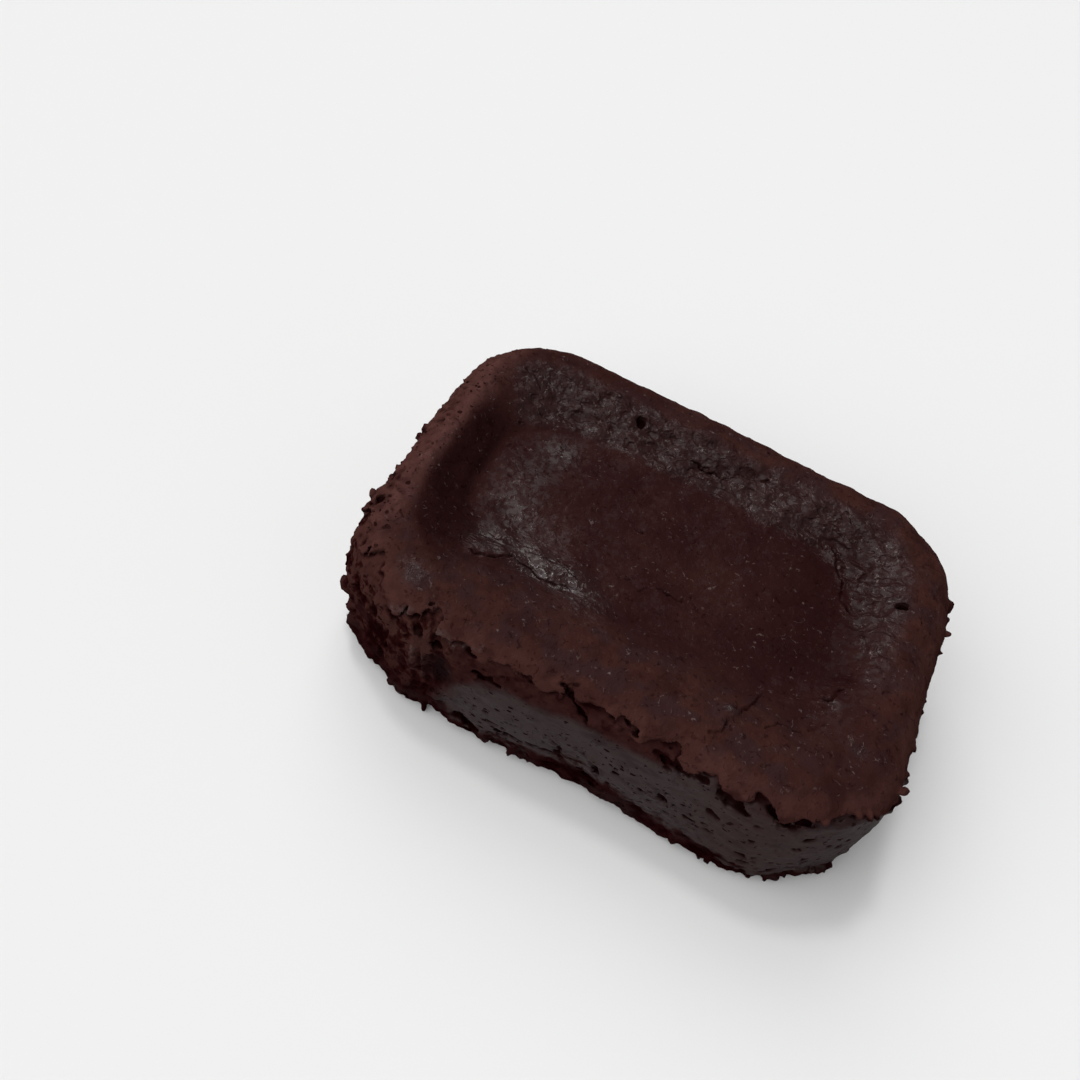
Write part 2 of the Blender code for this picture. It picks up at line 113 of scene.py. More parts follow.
# Slots, tears and bubbles of the side and lip: both ends x, y, z, then radius.
HOLES = (
    (-16.6, -30.6, 4.7, -13.8, -30.6, 3.4, 1.3),
    (-30.8, -29.7, 18.5, -29.2, -30.0, 18.3, 0.9),
    (-32.0, -29.1, 13.8, -31.4, -29.4, 12.2, 0.9),
    (-26.2, -30.7, 20.6, -24.8, -30.5, 18.4, 0.8),
    (-27.4, -31.4, 16.0, -26.8, -31.4, 10.6, 0.8),
    (-24.4, -31.6, 16.0, -23.8, -31.6, 11.4, 0.8),
    (-21.6, -32.4, 15.6, -20.6, -32.4, 12.8, 2.2),
    (-18.6, -30.5, 20.9, -17.0, -30.3, 20.4, 0.7),
    (-16.2, -31.0, 17.7, -12.4, -31.0, 17.6, 0.7),
    (-4.3, -29.6, 22.3, -1.8, -30.1, 20.6, 0.6),
    (-1.8, -30.2, 20.6, 0.9, -30.6, 18.8, 0.7),
    (4.6, -30.0, 21.9, 7.6, -29.9, 20.8, 0.7),
    (10.4, -30.7, 20.1, 14.6, -31.0, 19.3, 0.7),
    (16.6, -31.0, 20.3, 17.8, -31.0, 20.1, 0.6),
    (20.2, -31.2, 19.7, 24.2, -31.2, 18.6, 0.9),
    (24.4, -30.6, 22.0, 26.8, -30.5, 20.6, 0.8),
    (26.8, -30.5, 20.6, 29.4, -30.2, 19.3, 0.8),
    (30.6, -29.8, 20.3, 32.6, -29.0, 19.8, 0.6),
    (4.0, -31.2, 9.6, 4.6, -31.2, 8.8, 0.8),
    (13.0, -31.8, 13.3, 14.2, -31.9, 12.2, 0.7),
    (20.2, -31.9, 15.2, 21.6, -31.9, 14.6, 0.6),
    (-9.2, -31.0, 7.0, -6.8, -30.9, 6.6, 0.5),
    (-5.8, -30.8, 7.4, -0.6, -30.7, 7.6, 0.5),
    (34.3, 9.2, 24.8, 34.3, 9.2, 23.9, 0.8),
    (-40.4, -16.7, 23.2, -39.6, -16.7, 22.8, 0.8),
    (-13.6, 21.2, 24.0, -13.4, 20.6, 23.2, 0.8),
)

# Flakes and crumbs baked on to the side: x, y, z, radius.
LUMPS = (
    (41.9, 17.0, 20.6, 0.7),
    (41.5, -20.2, 18.3, 0.9),
    (40.6, -21.4, 7.0, 1.0),
    (39.0, -23.2, 2.6, 1.7),
    (-42.2, 5.8, 20.8, 0.5),
    (-42.2, -0.6, 21.0, 0.5),
    (-38.9, -22.0, 16.0, 1.2),
)

# Places where the outline swells (+) or falls back (-): x, y, reach, amount.
OUTLINE_SWELLS = (
    (-42.0, -10.0, 6.0, -0.5),
    (-40.0, -23.0, 4.0, 0.4),
    (-34.0, -30.0, 6.0, -1.2),
    (33.0, 30.0, 7.0, -0.3),
    (43.0, 10.0, 6.0, 0.5),
    (40.5, -22.0, 6.0, 0.8),
    (24.0, -32.0, 9.0, 0.9),
    (-12.0, -32.0, 7.0, 0.4),
    (12.0, 32.0, 8.0, -0.3),
)

# Places where the lower edge of the crust hangs (-) or is lifted (+): x, y, reach, amount.
LIP_STEPS = (
    (-31.0, -29.0, 3.0, -2.6),
    (-22.0, -31.0, 1.8, -1.9),
    (-16.2, -31.0, 1.4, -1.8),
    (-7.0, -31.0, 1.5, -0.6),
    (-3.5, -31.0, 1.4, 0.9),
    (7.3, -31.0, 1.6, -1.0),
    (10.2, -31.0, 1.2, 0.5),
    (14.4, -31.5, 1.7, -2.5),
    (21.6, -31.5, 1.7, -2.9),
    (28.6, -30.5, 1.4, -2.2),
    (33.0, -29.0, 3.0, -0.8),
    (41.0, -21.0, 3.0, -2.2),
    (42.0, 8.0, 3.5, -0.8),
    (-42.0, 6.0, 3.0, -1.0),
    (12.0, 31.0, 4.0, -0.9),
    (-16.0, 31.0, 3.0, 0.8),
)

# Where along the cake each change of form starts and ends
FRONT_RANGE = (8.0, 27.0)
FLOOR_RISE_RANGE = (2.0, 20.0)
LEFT_RANGE = (20.0, 36.0)
BACK_WALL_RANGE = (4.0, 14.0)
FOOT_RANGE = (2.5, 6.5)
UNDER_LIP_RANGE = (15.0, 20.0)
TORN_RANGE = (42.0, 58.0)
CRUST_REACH = (4.0, 9.0)

# Unevenness: amount, wavelength, seed
CREST_WAVES = ((0.3, 17.0, 5),)
FLOOR_WAVES = ((0.35, 14.0, 11),)
BASIN_EDGE_WAVES = ((0.9, 9.0, 8),)
WALL_WRINKLES = ((0.35, 3.5, 51), (0.2, 1.8, 52))
LIP_WAVES = ((0.5, 5.0, 21), (0.35, 1.9, 22))
LIP_INSET_WAVES = ((0.4, 3.4, 23), (0.2, 1.4, 24))
CRACK_WAVES = ((1.6, 4.5, 31),)
SIDE_WAVES = ((0.35, 9.0, 3),)
CRUMB_WAVES = ((0.6, 3.2, 41), (0.36, 1.7, 42))
WRINKLE_STRETCH = (0.6, 1.25)
FOLD_WAVER = 0.5
FOLD_WAVELENGTH = 3.0

# Fine mesh
CELL = 0.27
MARGIN = 3.0
HEADROOM = 4.0
MOST_TRIANGLES = 120000
FINEST_EDGE = 0.16
REFINE_ROUNDS = 2
REPAIR_ROUNDS = 60
SETTLE_ROUNDS = 3

# Corners of a lattice cell, and the noise fields made so far
CORNERS = [(i & 1, i >> 1 & 1, i >> 2 & 1) for i in range(8)]
TABLES = {}

# Camera, in millimetres: where it stands, and its right, down and forward directions
CAMERA_AT = (0.66, -109.67, 144.82)
CAMERA_RIGHT = (0.88582, 0.41451, 0.20860)
CAMERA_DOWN = (0.44983, -0.65666, -0.60535)
CAMERA_FORWARD = (-0.11394, 0.63007, -0.76814)
SENSOR_WIDTH = 36.0
LENS = 36.0 * 1100.0 / 1080.0

# Pores of the side: how many, and their ranges of height, length to height, and depth to height
PORE_COUNT = 190
PORE_LEVELS = (1.5, 20.0)
PORE_STRETCH = (1.0, 2.8)
PORE_DEPTH = (2.0, 3.5)

# Chance of a pore: anywhere, more near the foot, less on the front outside its clusters, and the most
PORE_CHANCE = 0.35
FOOT_CHANCE = 0.25
FOOT_PORE_LEVEL = 7.0
FRONT_CHANCE = -0.15
FRONT_PORES_FROM = 20.0
MOST_CHANCE = 1.6

# Clusters of pores on the front: x, z, reach, weight
PORE_CLUSTERS = (
    (4.0, 9.0, 5.0, 1.6),
    (14.0, 12.5, 4.0, 1.4),
    (22.0, 9.0, 6.0, 1.8),
    (33.0, 10.0, 7.0, 2.2),
    (-12.0, 10.0, 4.0, 0.7),
)

# Crumbs on the foot, the lip and the torn corner: heights, and which heights stay bare elsewhere
CRUMB_COUNT = 200
CRUMB_LEVELS = ((0.6, 3.5), (16.0, 22.0), (3.0, 20.0))
BARE_LEVELS = (4.0, 16.0)
CRUMB_CORNER = 50.0
CRUMB_OUT = 0.1
HIGH_CRUMB_OUT = -0.25

# More crumbs on the lip of both ends: how many, past which x, and the share kept on the left
END_CRUMBS = 30
END_FROM = 38.0
LEFT_END_SHARE = 0.4
END_CRUMB_LEVELS = (19.4, 22.2)
END_CRUMB_SIZES = (0.35, 0.65)
END_CRUMB_DEPTHS = (0.3, 0.7)

# Random sizes: smallest, spread, largest
PORE_SIZES = (0.22, 0.13, 0.8)
CRUMB_SIZES = (0.22, 0.12, 0.62)
RIM_PORE_SIZES = (0.07, 0.03, 0.19)

# Upper edge of the torn foot, and of the satin band, along the front: x, then height
FOOT_AT = (-24.0, -21.0, -12.0, -3.5, 0.5, 10.0, 30.0)
FOOT_HEIGHT = (6.5, 5.6, 3.6, 5.8, 8.2, 6.6, 3.6)
FOOT_SOFTNESS = 0.6
BAND_AT = (-22.0, -16.0, -11.0, 8.0, 18.0, 40.0)
BAND_HEIGHT = (8.0, 15.0, 17.2, 18.4, 21.0, 21.5)
BAND_SOFTNESS = 1.2
BACK_BAND = 18.0

# Lip and slots, against those of the plain form
LIP_REACH = 0.3
CRACK_CLOSED = 0.25
FINE_CRACK_DEPTH = 1.5
SLOT_SHARE = 0.8
BUBBLE_LEVEL = 23.0
CRUST_DEPTH = 6.0
FLAT_RANGE = (2.0, 4.6)

# How far round a hole or lump the form is worked out again, and how softly each joins
NEAR_HOLE = 1.2
NEAR_PORE = 0.6
HOLE_BLEND = 0.25
PORE_BLEND = 0.08
LUMP_BLEND = 0.5

# Torn corner: where it starts, and its ribs and grains: amount, stretch of height, wavelength, seed
CORNER_FROM = 44.0
CORNER_RANGE = (48.0, 53.0)
CORNER_LIP_RANGE = (49.0, 55.0)
FRAGMENT_HEIGHT = 0.9
FRAGMENTS = ((0.6, 0.35, 3.4, 95), (0.45, 0.8, 1.7, 99), (0.3, 1.0, 0.8, 96))

# Fine unevenness: amount, wavelength, seed
CORNER_WAVES = ((2.0, 6.0, 82),)
LIP_TEETH = ((1.0, 2.1, 25), (0.6, 0.9, 30))
HOLE_WAVES = ((0.25, 1.1, 71),)
LUMP_WAVES = ((0.45, 0.9, 72),)
PORE_WAVES = ((0.5, 0.8, 73),)
PATCH_WAVES = ((2.2, 2.6, 86), (0.8, 1.1, 87))
FOOT_WAVES = ((0.8, 7.0, 81),)
BAND_WAVES = ((0.8, 6.0, 84),)
LEVEL_WAVES = ((0.6, 1.6, 88),)
SKIN_WAVES = ((0.2, 4.6, 113), (0.14, 2.6, 91), (0.07, 1.2, 92))
SATIN_WAVES = ((0.09, 2.5, 97), (0.07, 0.9, 98))
BLISTER_WAVES = ((0.14, 0.8, 111),)
CURL_WAVES = ((1.2, 1.5, 103),)
OPEN_WAVES = ((1.2, 2.2, 104),)
BROKEN_WAVES = ((1.2, 0.8, 112),)

# Fine unevenness of one place, each with an amount of its own: wavelength, seed
CORNER_TEETH = (2.6, 28)
LIP_FRAY = (0.8, 26)
CORNER_FRAY = (1.8, 29)
RIGHT_FRAY = (1.7, 32)
CREST_FRAY = (5.0, 33)
CRACK_FRAY = (1.8, 27)
FOOT_FRAY = (2.0, 83)
FINE_FOOT_FRAY = (1.1, 85)
BLISTERS = (1.9, 110)

# Wrinkles of the skin: amount, stretch of x, wavelength, seed
WRINKLES = ((0.55, 0.5, 3.2, 93), (0.18, 0.7, 1.4, 94))

# How cracks and pale ribs waver: amount and wavelength of each wave, then the seeds for x, y and z
CRACK_WAVER = ((0.4, 1.5), (0.14, 0.5)), (101, 105, 109)
PALE_WAVER = ((0.3, 1.4),), (106, 107, 108)

# Regions seen from above, as soft steps: parts of x and y, then where the step starts and ends
REGIONS = {
    "right end": ((1.0, 0.0, 34.0, 39.0),),
    "back wall": ((0.0, 1.0, 9.0, 13.0), (1.0, 0.5, -28.0, -24.0)),
    "right wall": ((1.0, 0.3, 29.0, 31.0), (0.0, 1.0, -13.0, 4.0)),
    "front band": ((0.0, -1.0, 5.0, 20.0),),
    "faint band": ((1.0, 0.0, 14.0, 26.0),),
    "coarse band": ((1.0, 0.0, 5.0, 20.0),),
    "dull right": ((1.0, 0.0, 24.0, 32.0), (0.0, -1.0, 8.0, 18.0)),
    "dull back": ((0.0, 1.0, 12.0, 18.0), (-1.0, 0.0, 5.0, 15.0)),
    "dark floor": ((1.0, 0.0, 12.0, 22.0), (0.0, 1.0, -14.0, -6.0)),
    "dark wall": ((-1.0, 0.0, 22.0, 30.0), (0.0, -1.0, -12.0, -6.0)),
    "front rim": ((0.0, -1.0, 14.0, 22.0),),
    "front right": ((1.0, 0.0, 20.0, 34.0),),
    "left end": ((-1.0, 0.0, 34.0, 39.0),),
    "left pores": ((-1.0, 0.0, 28.0, 36.0),),
    "right pores": ((1.0, 0.0, 34.0, 38.0),),
}

# Small holes of the rim: how many, how far from the outline, and more of them at the left past this y
RIM_PORES = 110
RIM_PORE_DEPTHS = (0.6, 6.5)
BACK_PORES_FROM = 8.0

# Hairline cracks of the top: how many, in which x and y, and their sizes
HAIRLINES = 150
HAIRLINE_FIELD = ((-37.0, 37.0), (-27.0, 26.0))
HAIRLINE_LENGTHS = (0.4, 1.7)
HAIRLINE_WIDTHS = (0.06, 0.12)
HAIRLINE_DEPTHS = (0.08, 0.24)
HAIRLINE_BEND = 0.2

# Cracks of the top stay above this height, and look darkest from this depth on
CRACKED_FROM = 17.0
DARK_DEPTH = 0.35

# Cracks of the top: half width, depth, then x, y of each point
CRACKS = (
    (0.15, 0.45, -2.0, -9.3, 0.3, -6.6, 2.3, -6.6, 3.6, -6.8, 5.2, -6.1, 5.6, -4.8),
    (0.18, 0.50, 15.4, -26.2, 17.0, -25.0, 16.6, -23.1),
    (0.17, 0.45, 18.1, -20.9, 18.8, -19.2, 20.2, -15.6),
    (0.17, 0.45, 27.9, -12.4, 28.9, -11.3, 29.9, -8.7),
    (0.14, 0.35, 21.8, -21.3, 23.2, -19.2, 26.5, -18.8, 29.1, -16.0),
    (0.13, 0.35, -6.6, 2.3, -4.7, 1.7),
    (0.15, 0.45, -25.4, -17.0, -24.3, -17.2, -21.6, -15.9, -19.7, -14.0),
    (0.12, 0.35, -19.7, -14.0, -17.3, -14.4, -14.7, -14.8, -12.3, -14.6, -9.6, -13.7),
    (0.10, 0.25, -18.4, -11.8, -14.9, -11.5, -12.4, -11.5, -9.4, -12.7),
    (0.10, 0.25, -22.0, 8.8, -20.1, 6.3, -17.6, 5.9),
    (0.09, 0.20, -15.4, 11.6, -11.9, 11.2),
    (0.07, 0.10, -30.7, -18.4, -31.0, -16.1, -31.3, -13.8),
    (0.07, 0.08, -30.5, -25.6, -31.0, -21.5, -30.9, -17.8),
    (0.16, 0.45, -3.3, 19.2, -0.5, 19.1, 2.9, 19.3),
    (0.14, 0.35, 3.5, 20.3, 9.4, 22.0),
    (0.20, 0.25, 22.3, 17.0, 25.6, 10.3, 25.9, 8.1, 28.6, 5.8),
    (0.16, 0.20, 28.9, 3.3, 30.4, 2.0, 31.3, -0.6),
    (0.25, 0.45, -29.6, 5.8, -29.4, 5.9),
    (0.85, 0.40, 34.2, 9.2, 34.4, 9.4),
    (0.75, 0.40, -40.4, -16.6, -40.2, -16.3),
    (0.45, 0.30, -13.7, 21.3, -13.2, 20.9),
)

# Cracks, streaks and cavities of the front side: half width, depth, then x, y, z of each point
SIDE_MARKS = (
    (0.30, 0.8, -15.3, -31.0, 16.9, -12.4, -31.2, 19.7),
    (0.24, 0.6, -11.3, -30.6, 21.7, -8.5, -30.3, 21.0),
    (0.18, 0.5, -7.9, -30.2, 21.1, -5.8, -30.1, 21.0),
    (0.20, 0.6, -4.9, -29.5, 22.0, -2.7, -28.6, 22.6),
    (0.40, 1.0, -4.3, -29.2, 21.8, -2.1, -29.6, 20.3, 0.6, -30.0, 18.8),
    (0.30, 0.4, 3.1, -29.3, 21.2, 3.3, -29.3, 21.1),
    (0.30, 0.7, 4.8, -29.2, 21.3, 7.5, -29.2, 20.5),
    (0.16, 0.4, 9.9, -29.6, 22.0, 11.8, -29.6, 21.2),
    (0.30, 0.6, 11.2, -30.2, 19.4, 12.7, -31.2, 18.7),
    (0.25, 0.5, 13.6, -30.4, 19.1, 15.3, -30.6, 19.1),
    (0.16, 0.4, 29.7, -30.1, 20.7, 33.5, -28.3, 20.8),
    (0.14, 0.4, 35.3, -27.0, 20.9, 38.0, -24.9, 20.9, 41.0, -21.3, 18.9),
    (0.25, 0.3, -3.5, -31.4, 11.8, -1.0, -31.0, 9.9),
    (0.20, 0.3, 0.3, -31.1, 12.2, 1.8, -31.1, 12.1),
    (0.45, 0.8, 3.7, -31.1, 10.7, 5.1, -30.8, 8.4),
    (0.50, 0.9, 12.0, -30.8, 12.4, 14.6, -31.4, 11.6),
    (0.35, 0.5, 19.0, -31.4, 9.5, 19.2, -31.4, 9.4),
    (0.25, 0.5, -24.4, -31.1, 6.2, -22.2, -31.2, 7.7, -19.9, -31.2, 8.5),
    (0.35, 0.7, -30.0, -30.0, 14.4, -29.5, -30.1, 11.2),
    (1.20, 0.35, 38.8, -23.6, 3.0, 39.3, -23.0, 2.2),
)

# Pale ribs and painted highlights, most on the torn corner: upright pale ribs, and highlights painted as
# plates on the lip's edge, by the dark hollow and at the back hole; half width, rise, then x, y, z of both
# ends
PALE_MARKS = (
    (0.38, 0.5, -25.6, -31.3, 16.1, -25.0, -31.1, 10.7),
    (0.34, 0.5, -24.1, -31.0, 16.6, -23.2, -31.2, 10.5),
    (0.80, 0.3, -22.4, -30.3, 21.2, -20.5, -30.4, 20.3),
    (0.70, 0.3, -30.0, -29.5, 19.8, -27.6, -29.5, 21.1),
    (0.45, 0.2, -19.0, -30.2, 20.6, -16.5, -30.2, 21.6),
    (0.45, 0.1, -20.4, -30.5, 15.8, -19.8, -30.7, 14.4),
    (0.30, 0.0, -13.2, 20.7, 23.0, -12.5, 20.4, 23.5),
)

# Smooth hollow at the end of the satin band, darkened by painted shade: centre and reach
HOLLOW_AT = (-21.2, -30.6, 14.0)
HOLLOW_REACH = 3.4

# Where the sunken top shines: x, y, reach, strength
SHEEN_SPOTS = (
    (-24.5, -13.5, 2.4, 0.9),
    (-20.5, -12.0, 2.8, 1.0),
    (-16.0, -13.0, 2.4, 1.8),
    (-12.0, -13.6, 2.4, 1.6),
    (-23.0, -5.0, 4.0, 0.4),
    (-17.0, -7.0, 4.0, 0.25),
    (-25.0, 1.5, 3.6, 0.3),
    (-22.0, 9.0, 3.0, 0.5),
    (-8.0, -15.0, 3.4, 0.6),
    (-30.0, -25.5, 2.0, 0.4),
    (16.7, -21.2, 0.9, 1.0),
    (29.0, -12.2, 0.9, 0.9),
    (33.6, -18.2, 1.2, 0.6),
)


def ramp(value, low, high):
    """Smooth rise from 0 at low to 1 at high."""
    t = np.clip((value - low) / (high - low), 0.0, 1.0)
    return t * t * (3.0 - 2.0 * t)


def smooth_max(a, b, blend):
    h = np.maximum(blend - np.abs(a - b), 0.0) / blend
    return np.maximum(a, b) + h * h * blend * 0.25


def smooth_min(a, b, blend):
    return -smooth_max(-a, -b, blend)


def slope_table(seed):
    """A shuffled order and random unit slopes, for one noise field."""
    if seed not in TABLES:
        rng = np.random.RandomState(seed)
        order = rng.permutation(256)
        slopes = rng.normal(size=(3, 256))
        TABLES[seed] = order, slopes / np.linalg.norm(slopes, axis=0)
    return TABLES[seed]


def noise(x, y, z, wavelength, seed):
    """Smooth random field of about -1 to 1."""
    order, slopes = slope_table(seed)
    cells, parts, fades = [], [], []
    for value in (x, y, z):
        scaled = value / wavelength
        cell = np.floor(scaled)
        part = scaled - cell
        cells.append(cell.astype(np.int64))
        parts.append(part)
        fades.append(part * part * part * (part * (part * 6.0 - 15.0) + 10.0))
    total = np.zeros(np.shape(x))
    for dx in (0, 1):
        row = order[(cells[0] + dx) & 255]
        weight_x = fades[0] if dx else 1.0 - fades[0]
        for dy in (0, 1):
            column = order[(row + cells[1] + dy) & 255]
            weight_y = weight_x * (fades[1] if dy else 1.0 - fades[1])
            for dz in (0, 1):
                index = order[(column + cells[2] + dz) & 255]
                dot = (slopes[0][index] * (parts[0] - dx) + slopes[1][index] * (parts[1] - dy)
                       + slopes[2][index] * (parts[2] - dz))
                total += weight_y * (fades[2] if dz else 1.0 - fades[2]) * dot
    return total * 1.6


def plan_noise(x, y, wavelength, seed):
    """Noise that doesn't change with height."""
    return noise(x, y, np.full(np.shape(x), 0.5 * wavelength), wavelength, seed)


def plan_waves(x, y, table):
    return sum(amount * plan_noise(x, y, wavelength, seed) for amount, wavelength, seed in table)


def waves(x, y, z, table):
    return sum(amount * noise(x, y, z, wavelength, seed) for amount, wavelength, seed in table)


def rounded_rectangle(x, y, half_x, half_y, radius):
    qx = np.abs(x) - (half_x - radius)
    qy = np.abs(y) - (half_y - radius)
    outside = np.hypot(np.maximum(qx, 0.0), np.maximum(qy, 0.0))
    return outside + np.minimum(np.maximum(qx, qy), 0.0) - radius


def bumps(x, y, table):
    """Sum of soft round bumps listed as x, y, reach, amount."""
    total = np.zeros(np.shape(x))
    for at_x, at_y, reach, amount in table:
        total += amount * np.exp(-((x - at_x) ** 2 + (y - at_y) ** 2) / reach ** 2)
    return total


def from_line(points, start, end):
    """Distance of each point from a straight piece of line."""
    start, end = np.array(start), np.array(end)
    along = end - start
    share = np.clip((points - start) @ along / max(along @ along, 1e-9), 0.0, 1.0)
    return np.linalg.norm(points - start - share[:, None] * along, axis=1)


def folds(x, y, table):
    """Sum of soft ridges and furrows that waver and fade out: x, y, x, y, half width, height."""
    shifts = [FOLD_WAVER * plan_noise(x, y, FOLD_WAVELENGTH, seed) for seed in (61, 62)]
    points = np.stack([x + shifts[0], y + shifts[1]], axis=1)
    total = np.zeros(len(points))
    for x0, y0, x1, y1, width, height in table:
        start, end = np.array((x0, y0)), np.array((x1, y1))
        middle = 2.0 * np.linalg.norm(points - (start + end) / 2, axis=1) / np.linalg.norm(end - start)
        near = middle < 2.0
        apart = from_line(points[near], start, end) / width
        total[near] += height * (1.0 - ramp(middle[near], 0.6, 1.3)) * np.exp(-apart ** 2)
    return total


def side_inset(z):
    """How far the side falls back from the widest outline at each height."""
    lower = 2.0 * BASE_INSET * (1.0 - ramp(z, -WIDEST_LEVEL, WIDEST_LEVEL))
    return lower + SHOULDER_INSET * ramp(z, WIDEST_LEVEL, SHOULDER_LEVEL)


def top_of(x, y, inward):
    """Height of the crust, with its share of the way from the sunken floor (0) to the crest (1)."""
    front = ramp(-y, *FRONT_RANGE)
    left = ramp(-x, *LEFT_RANGE) * (1.0 - front)
    crest = CREST_HEIGHT - FRONT_CREST_DROP * front + plan_waves(x, y, CREST_WAVES)
    floor = BASIN_LEVEL + plan_waves(x, y, FLOOR_WAVES)
    floor += FRONT_FLOOR_RISE * ramp(-y, *FLOOR_RISE_RANGE)
    rounding = RIM_ROUNDING + FRONT_ROUNDING * front + LEFT_ROUNDING * left
    past = np.clip(1.0 - inward / rounding, 0.0, 1.25)
    fall = (RIM_DROP - FRONT_ROUNDING * front) * (1.0 - np.sqrt(np.maximum(1.0 - past ** 2, 0.0)))
    fall += RIM_DROP * np.maximum(past - 1.0, 0.0)
    edge = rounded_rectangle(x - BASIN_CENTRE[0], y - BASIN_CENTRE[1], *BASIN_HALF, BASIN_CORNER)
    climbed = np.maximum(edge + plan_waves(x, y, BASIN_EDGE_WAVES) + BASIN_SOFTNESS, 0.0)
    left_over = np.maximum(inward - rounding, 0.0)
    share = climbed / (climbed + left_over + 1e-6)
    wall = ramp(y, *BACK_WALL_RANGE) * share * (1.0 - share) * 4.0
    relief = bumps(x, y, TOP_SPOTS) + folds(x, y, TOP_FOLDS)
    relief += wall * plan_waves(WRINKLE_STRETCH[0] * x, WRINKLE_STRETCH[1] * y, WALL_WRINKLES)
    return floor + (crest - floor) * ramp(share, 0.0, 1.0) - fall + relief, share


def plan_of(x, y):
    """All that the form needs to know at each x, y, whatever the height."""
    edge = rounded_rectangle(x, y, LENGTH / 2, WIDTH / 2, CORNER_RADIUS) - bumps(x, y, OUTLINE_SWELLS)
    top, share = top_of(x, y, -edge)
    return {
        "edge": edge,
        "top": top,
        "share": share,
        "ragged": CRUST_LEVEL + plan_waves(x, y, LIP_WAVES) + bumps(x, y, LIP_STEPS),
        "lip": edge + LIP_INSET + plan_waves(x, y, LIP_INSET_WAVES),
        "crack": np.clip(CRACK_DEPTH + plan_waves(x, y, CRACK_WAVES), 0.0, 2.0 * CRACK_DEPTH),
    }


def side_roughness(x, y, z):
    """Slow waves all over, and crumbs where the side is torn: the foot and the left end."""
    foot = 1.0 - ramp(z, *FOOT_RANGE)
    torn = ramp(-x - y, *TORN_RANGE)
    under_lip = ramp(z, *UNDER_LIP_RANGE)
    share = np.minimum(0.1 + 0.6 * foot + 1.5 * torn + 0.2 * under_lip, 1.5)
    return waves(x, y, 0.5 * z, SIDE_WAVES) + share * waves(x, y, z, CRUMB_WAVES)


def unbroken(x, y, z, plan):
    """The cake before its holes: a crust with a ragged lip lying over the crumb."""
    crumb = plan["edge"] + side_inset(z)
    near = np.abs(crumb) < MARGIN
    crumb[near] += side_roughness(x[near], y[near], z[near])
    crumb = crumb + plan["crack"] * np.exp(-((z - plan["ragged"] + CRACK_DROP) / CRACK_HALF_HEIGHT) ** 2)
    crumb = smooth_max(crumb, -z, 2.0 * BASE_ROUNDING)
    below_top = (z - plan["top"]) * 0.9
    crumb = np.maximum(crumb, below_top + CRUST_THICKNESS)
    lower = plan["ragged"] - CRUST_ROOT * ramp(-plan["edge"], *CRUST_REACH)
    crust = smooth_max(smooth_max(below_top, lower - z, LIP_ROUNDING), plan["lip"], LIP_ROUNDING)
    return smooth_min(crumb, crust, CRUST_BLEND)


def linked(corners):
    """Whether these corners of a cube hang together along its edges."""
    seen = set(corners[:1])
    todo = list(seen)
    while todo:
        here = todo.pop()
        for bit in (1, 2, 4):
            there = here ^ bit
            if there in corners and there not in seen:
                seen.add(there)
                todo.append(there)
    return len(seen) == len(corners)


def unclear_cases():
    """For each pattern of inside corners, whether the surface in that cell would touch itself."""
    cases = np.zeros(256, bool)
    for case in range(256):
        inside = [i for i in range(8) if case >> i & 1]
        outside = [i for i in range(8) if not case >> i & 1]
        cases[case] = not (linked(inside) and linked(outside))
    return cases


def cases_of(values):
    """The pattern of inside corners of each cell, as one number."""
    nx, ny, nz = values.shape
    inside = (values < 0).astype(np.uint8)
    case = np.zeros((nx - 1, ny - 1, nz - 1), np.uint8)
    for i, (dx, dy, dz) in enumerate(CORNERS):
        case += inside[dx:nx - 1 + dx, dy:ny - 1 + dy, dz:nz - 1 + dz] << i
    return case


def corner_values(values, cells):
    return np.stack([values[tuple((cells + corner).T)] for corner in CORNERS])


def made_clear(values):
    """Fills corners of unclear cells until the surface nowhere touches itself."""
    unclear = unclear_cases()
    for _ in range(REPAIR_ROUNDS):
        cells = np.argwhere(unclear[cases_of(values)])
        if not len(cells):
            break
        near = corner_values(values, cells)
        pick = np.argmin(np.where(near < 0, np.inf, near), axis=0)
        values[tuple((cells + np.array(CORNERS)[pick]).T)] = -0.1 * CELL
    return values


def crossing_points(values, low):
    """One point in each cell that the surface passes through, with the cells' numbers."""
    case = cases_of(values)
    crossed = (case > 0) & (case < 255)
    cells = np.argwhere(crossed)
    number = np.full(crossed.shape, -1)
    number[crossed] = np.arange(len(cells))
    at = corner_values(values, cells)
    total = np.zeros((len(cells), 3))
    hits = np.zeros(len(cells))
    for i, start in enumerate(CORNERS):
        for axis in range(3):
            if start[axis]:
                continue
            j = i | 1 << axis
            cut = (at[i] < 0) != (at[j] < 0)
            point = np.tile(np.array(start, float), (len(cells), 1))
            point[:, axis] += np.where(cut, at[i] / np.where(cut, at[i] - at[j], 1.0), 0.0)
            total += point * cut[:, None]
            hits += cut
    return low + CELL * (cells + total / hits[:, None]), number


def crossing_faces(values, number):
    """A quad round each lattice edge that the surface crosses, facing outward."""
    faces = []
    for axis in range(3):
        turn = (axis, (axis + 1) % 3, (axis + 2) % 3)
        inside = np.moveaxis(values, turn, (0, 1, 2)) < 0
        cell = np.moveaxis(number, turn, (0, 1, 2))
        first, last = inside[:-1, 1:-1, 1:-1], inside[1:, 1:-1, 1:-1]
        for cut, order in ((first & ~last, 1), (~first & last, -1)):
            i, j, k = np.nonzero(cut)
            ring = [cell[i, j, k], cell[i, j + 1, k], cell[i, j + 1, k + 1], cell[i, j, k + 1]]
            faces.append(np.stack(ring, axis=1)[:, ::order])
    return np.concatenate(faces)


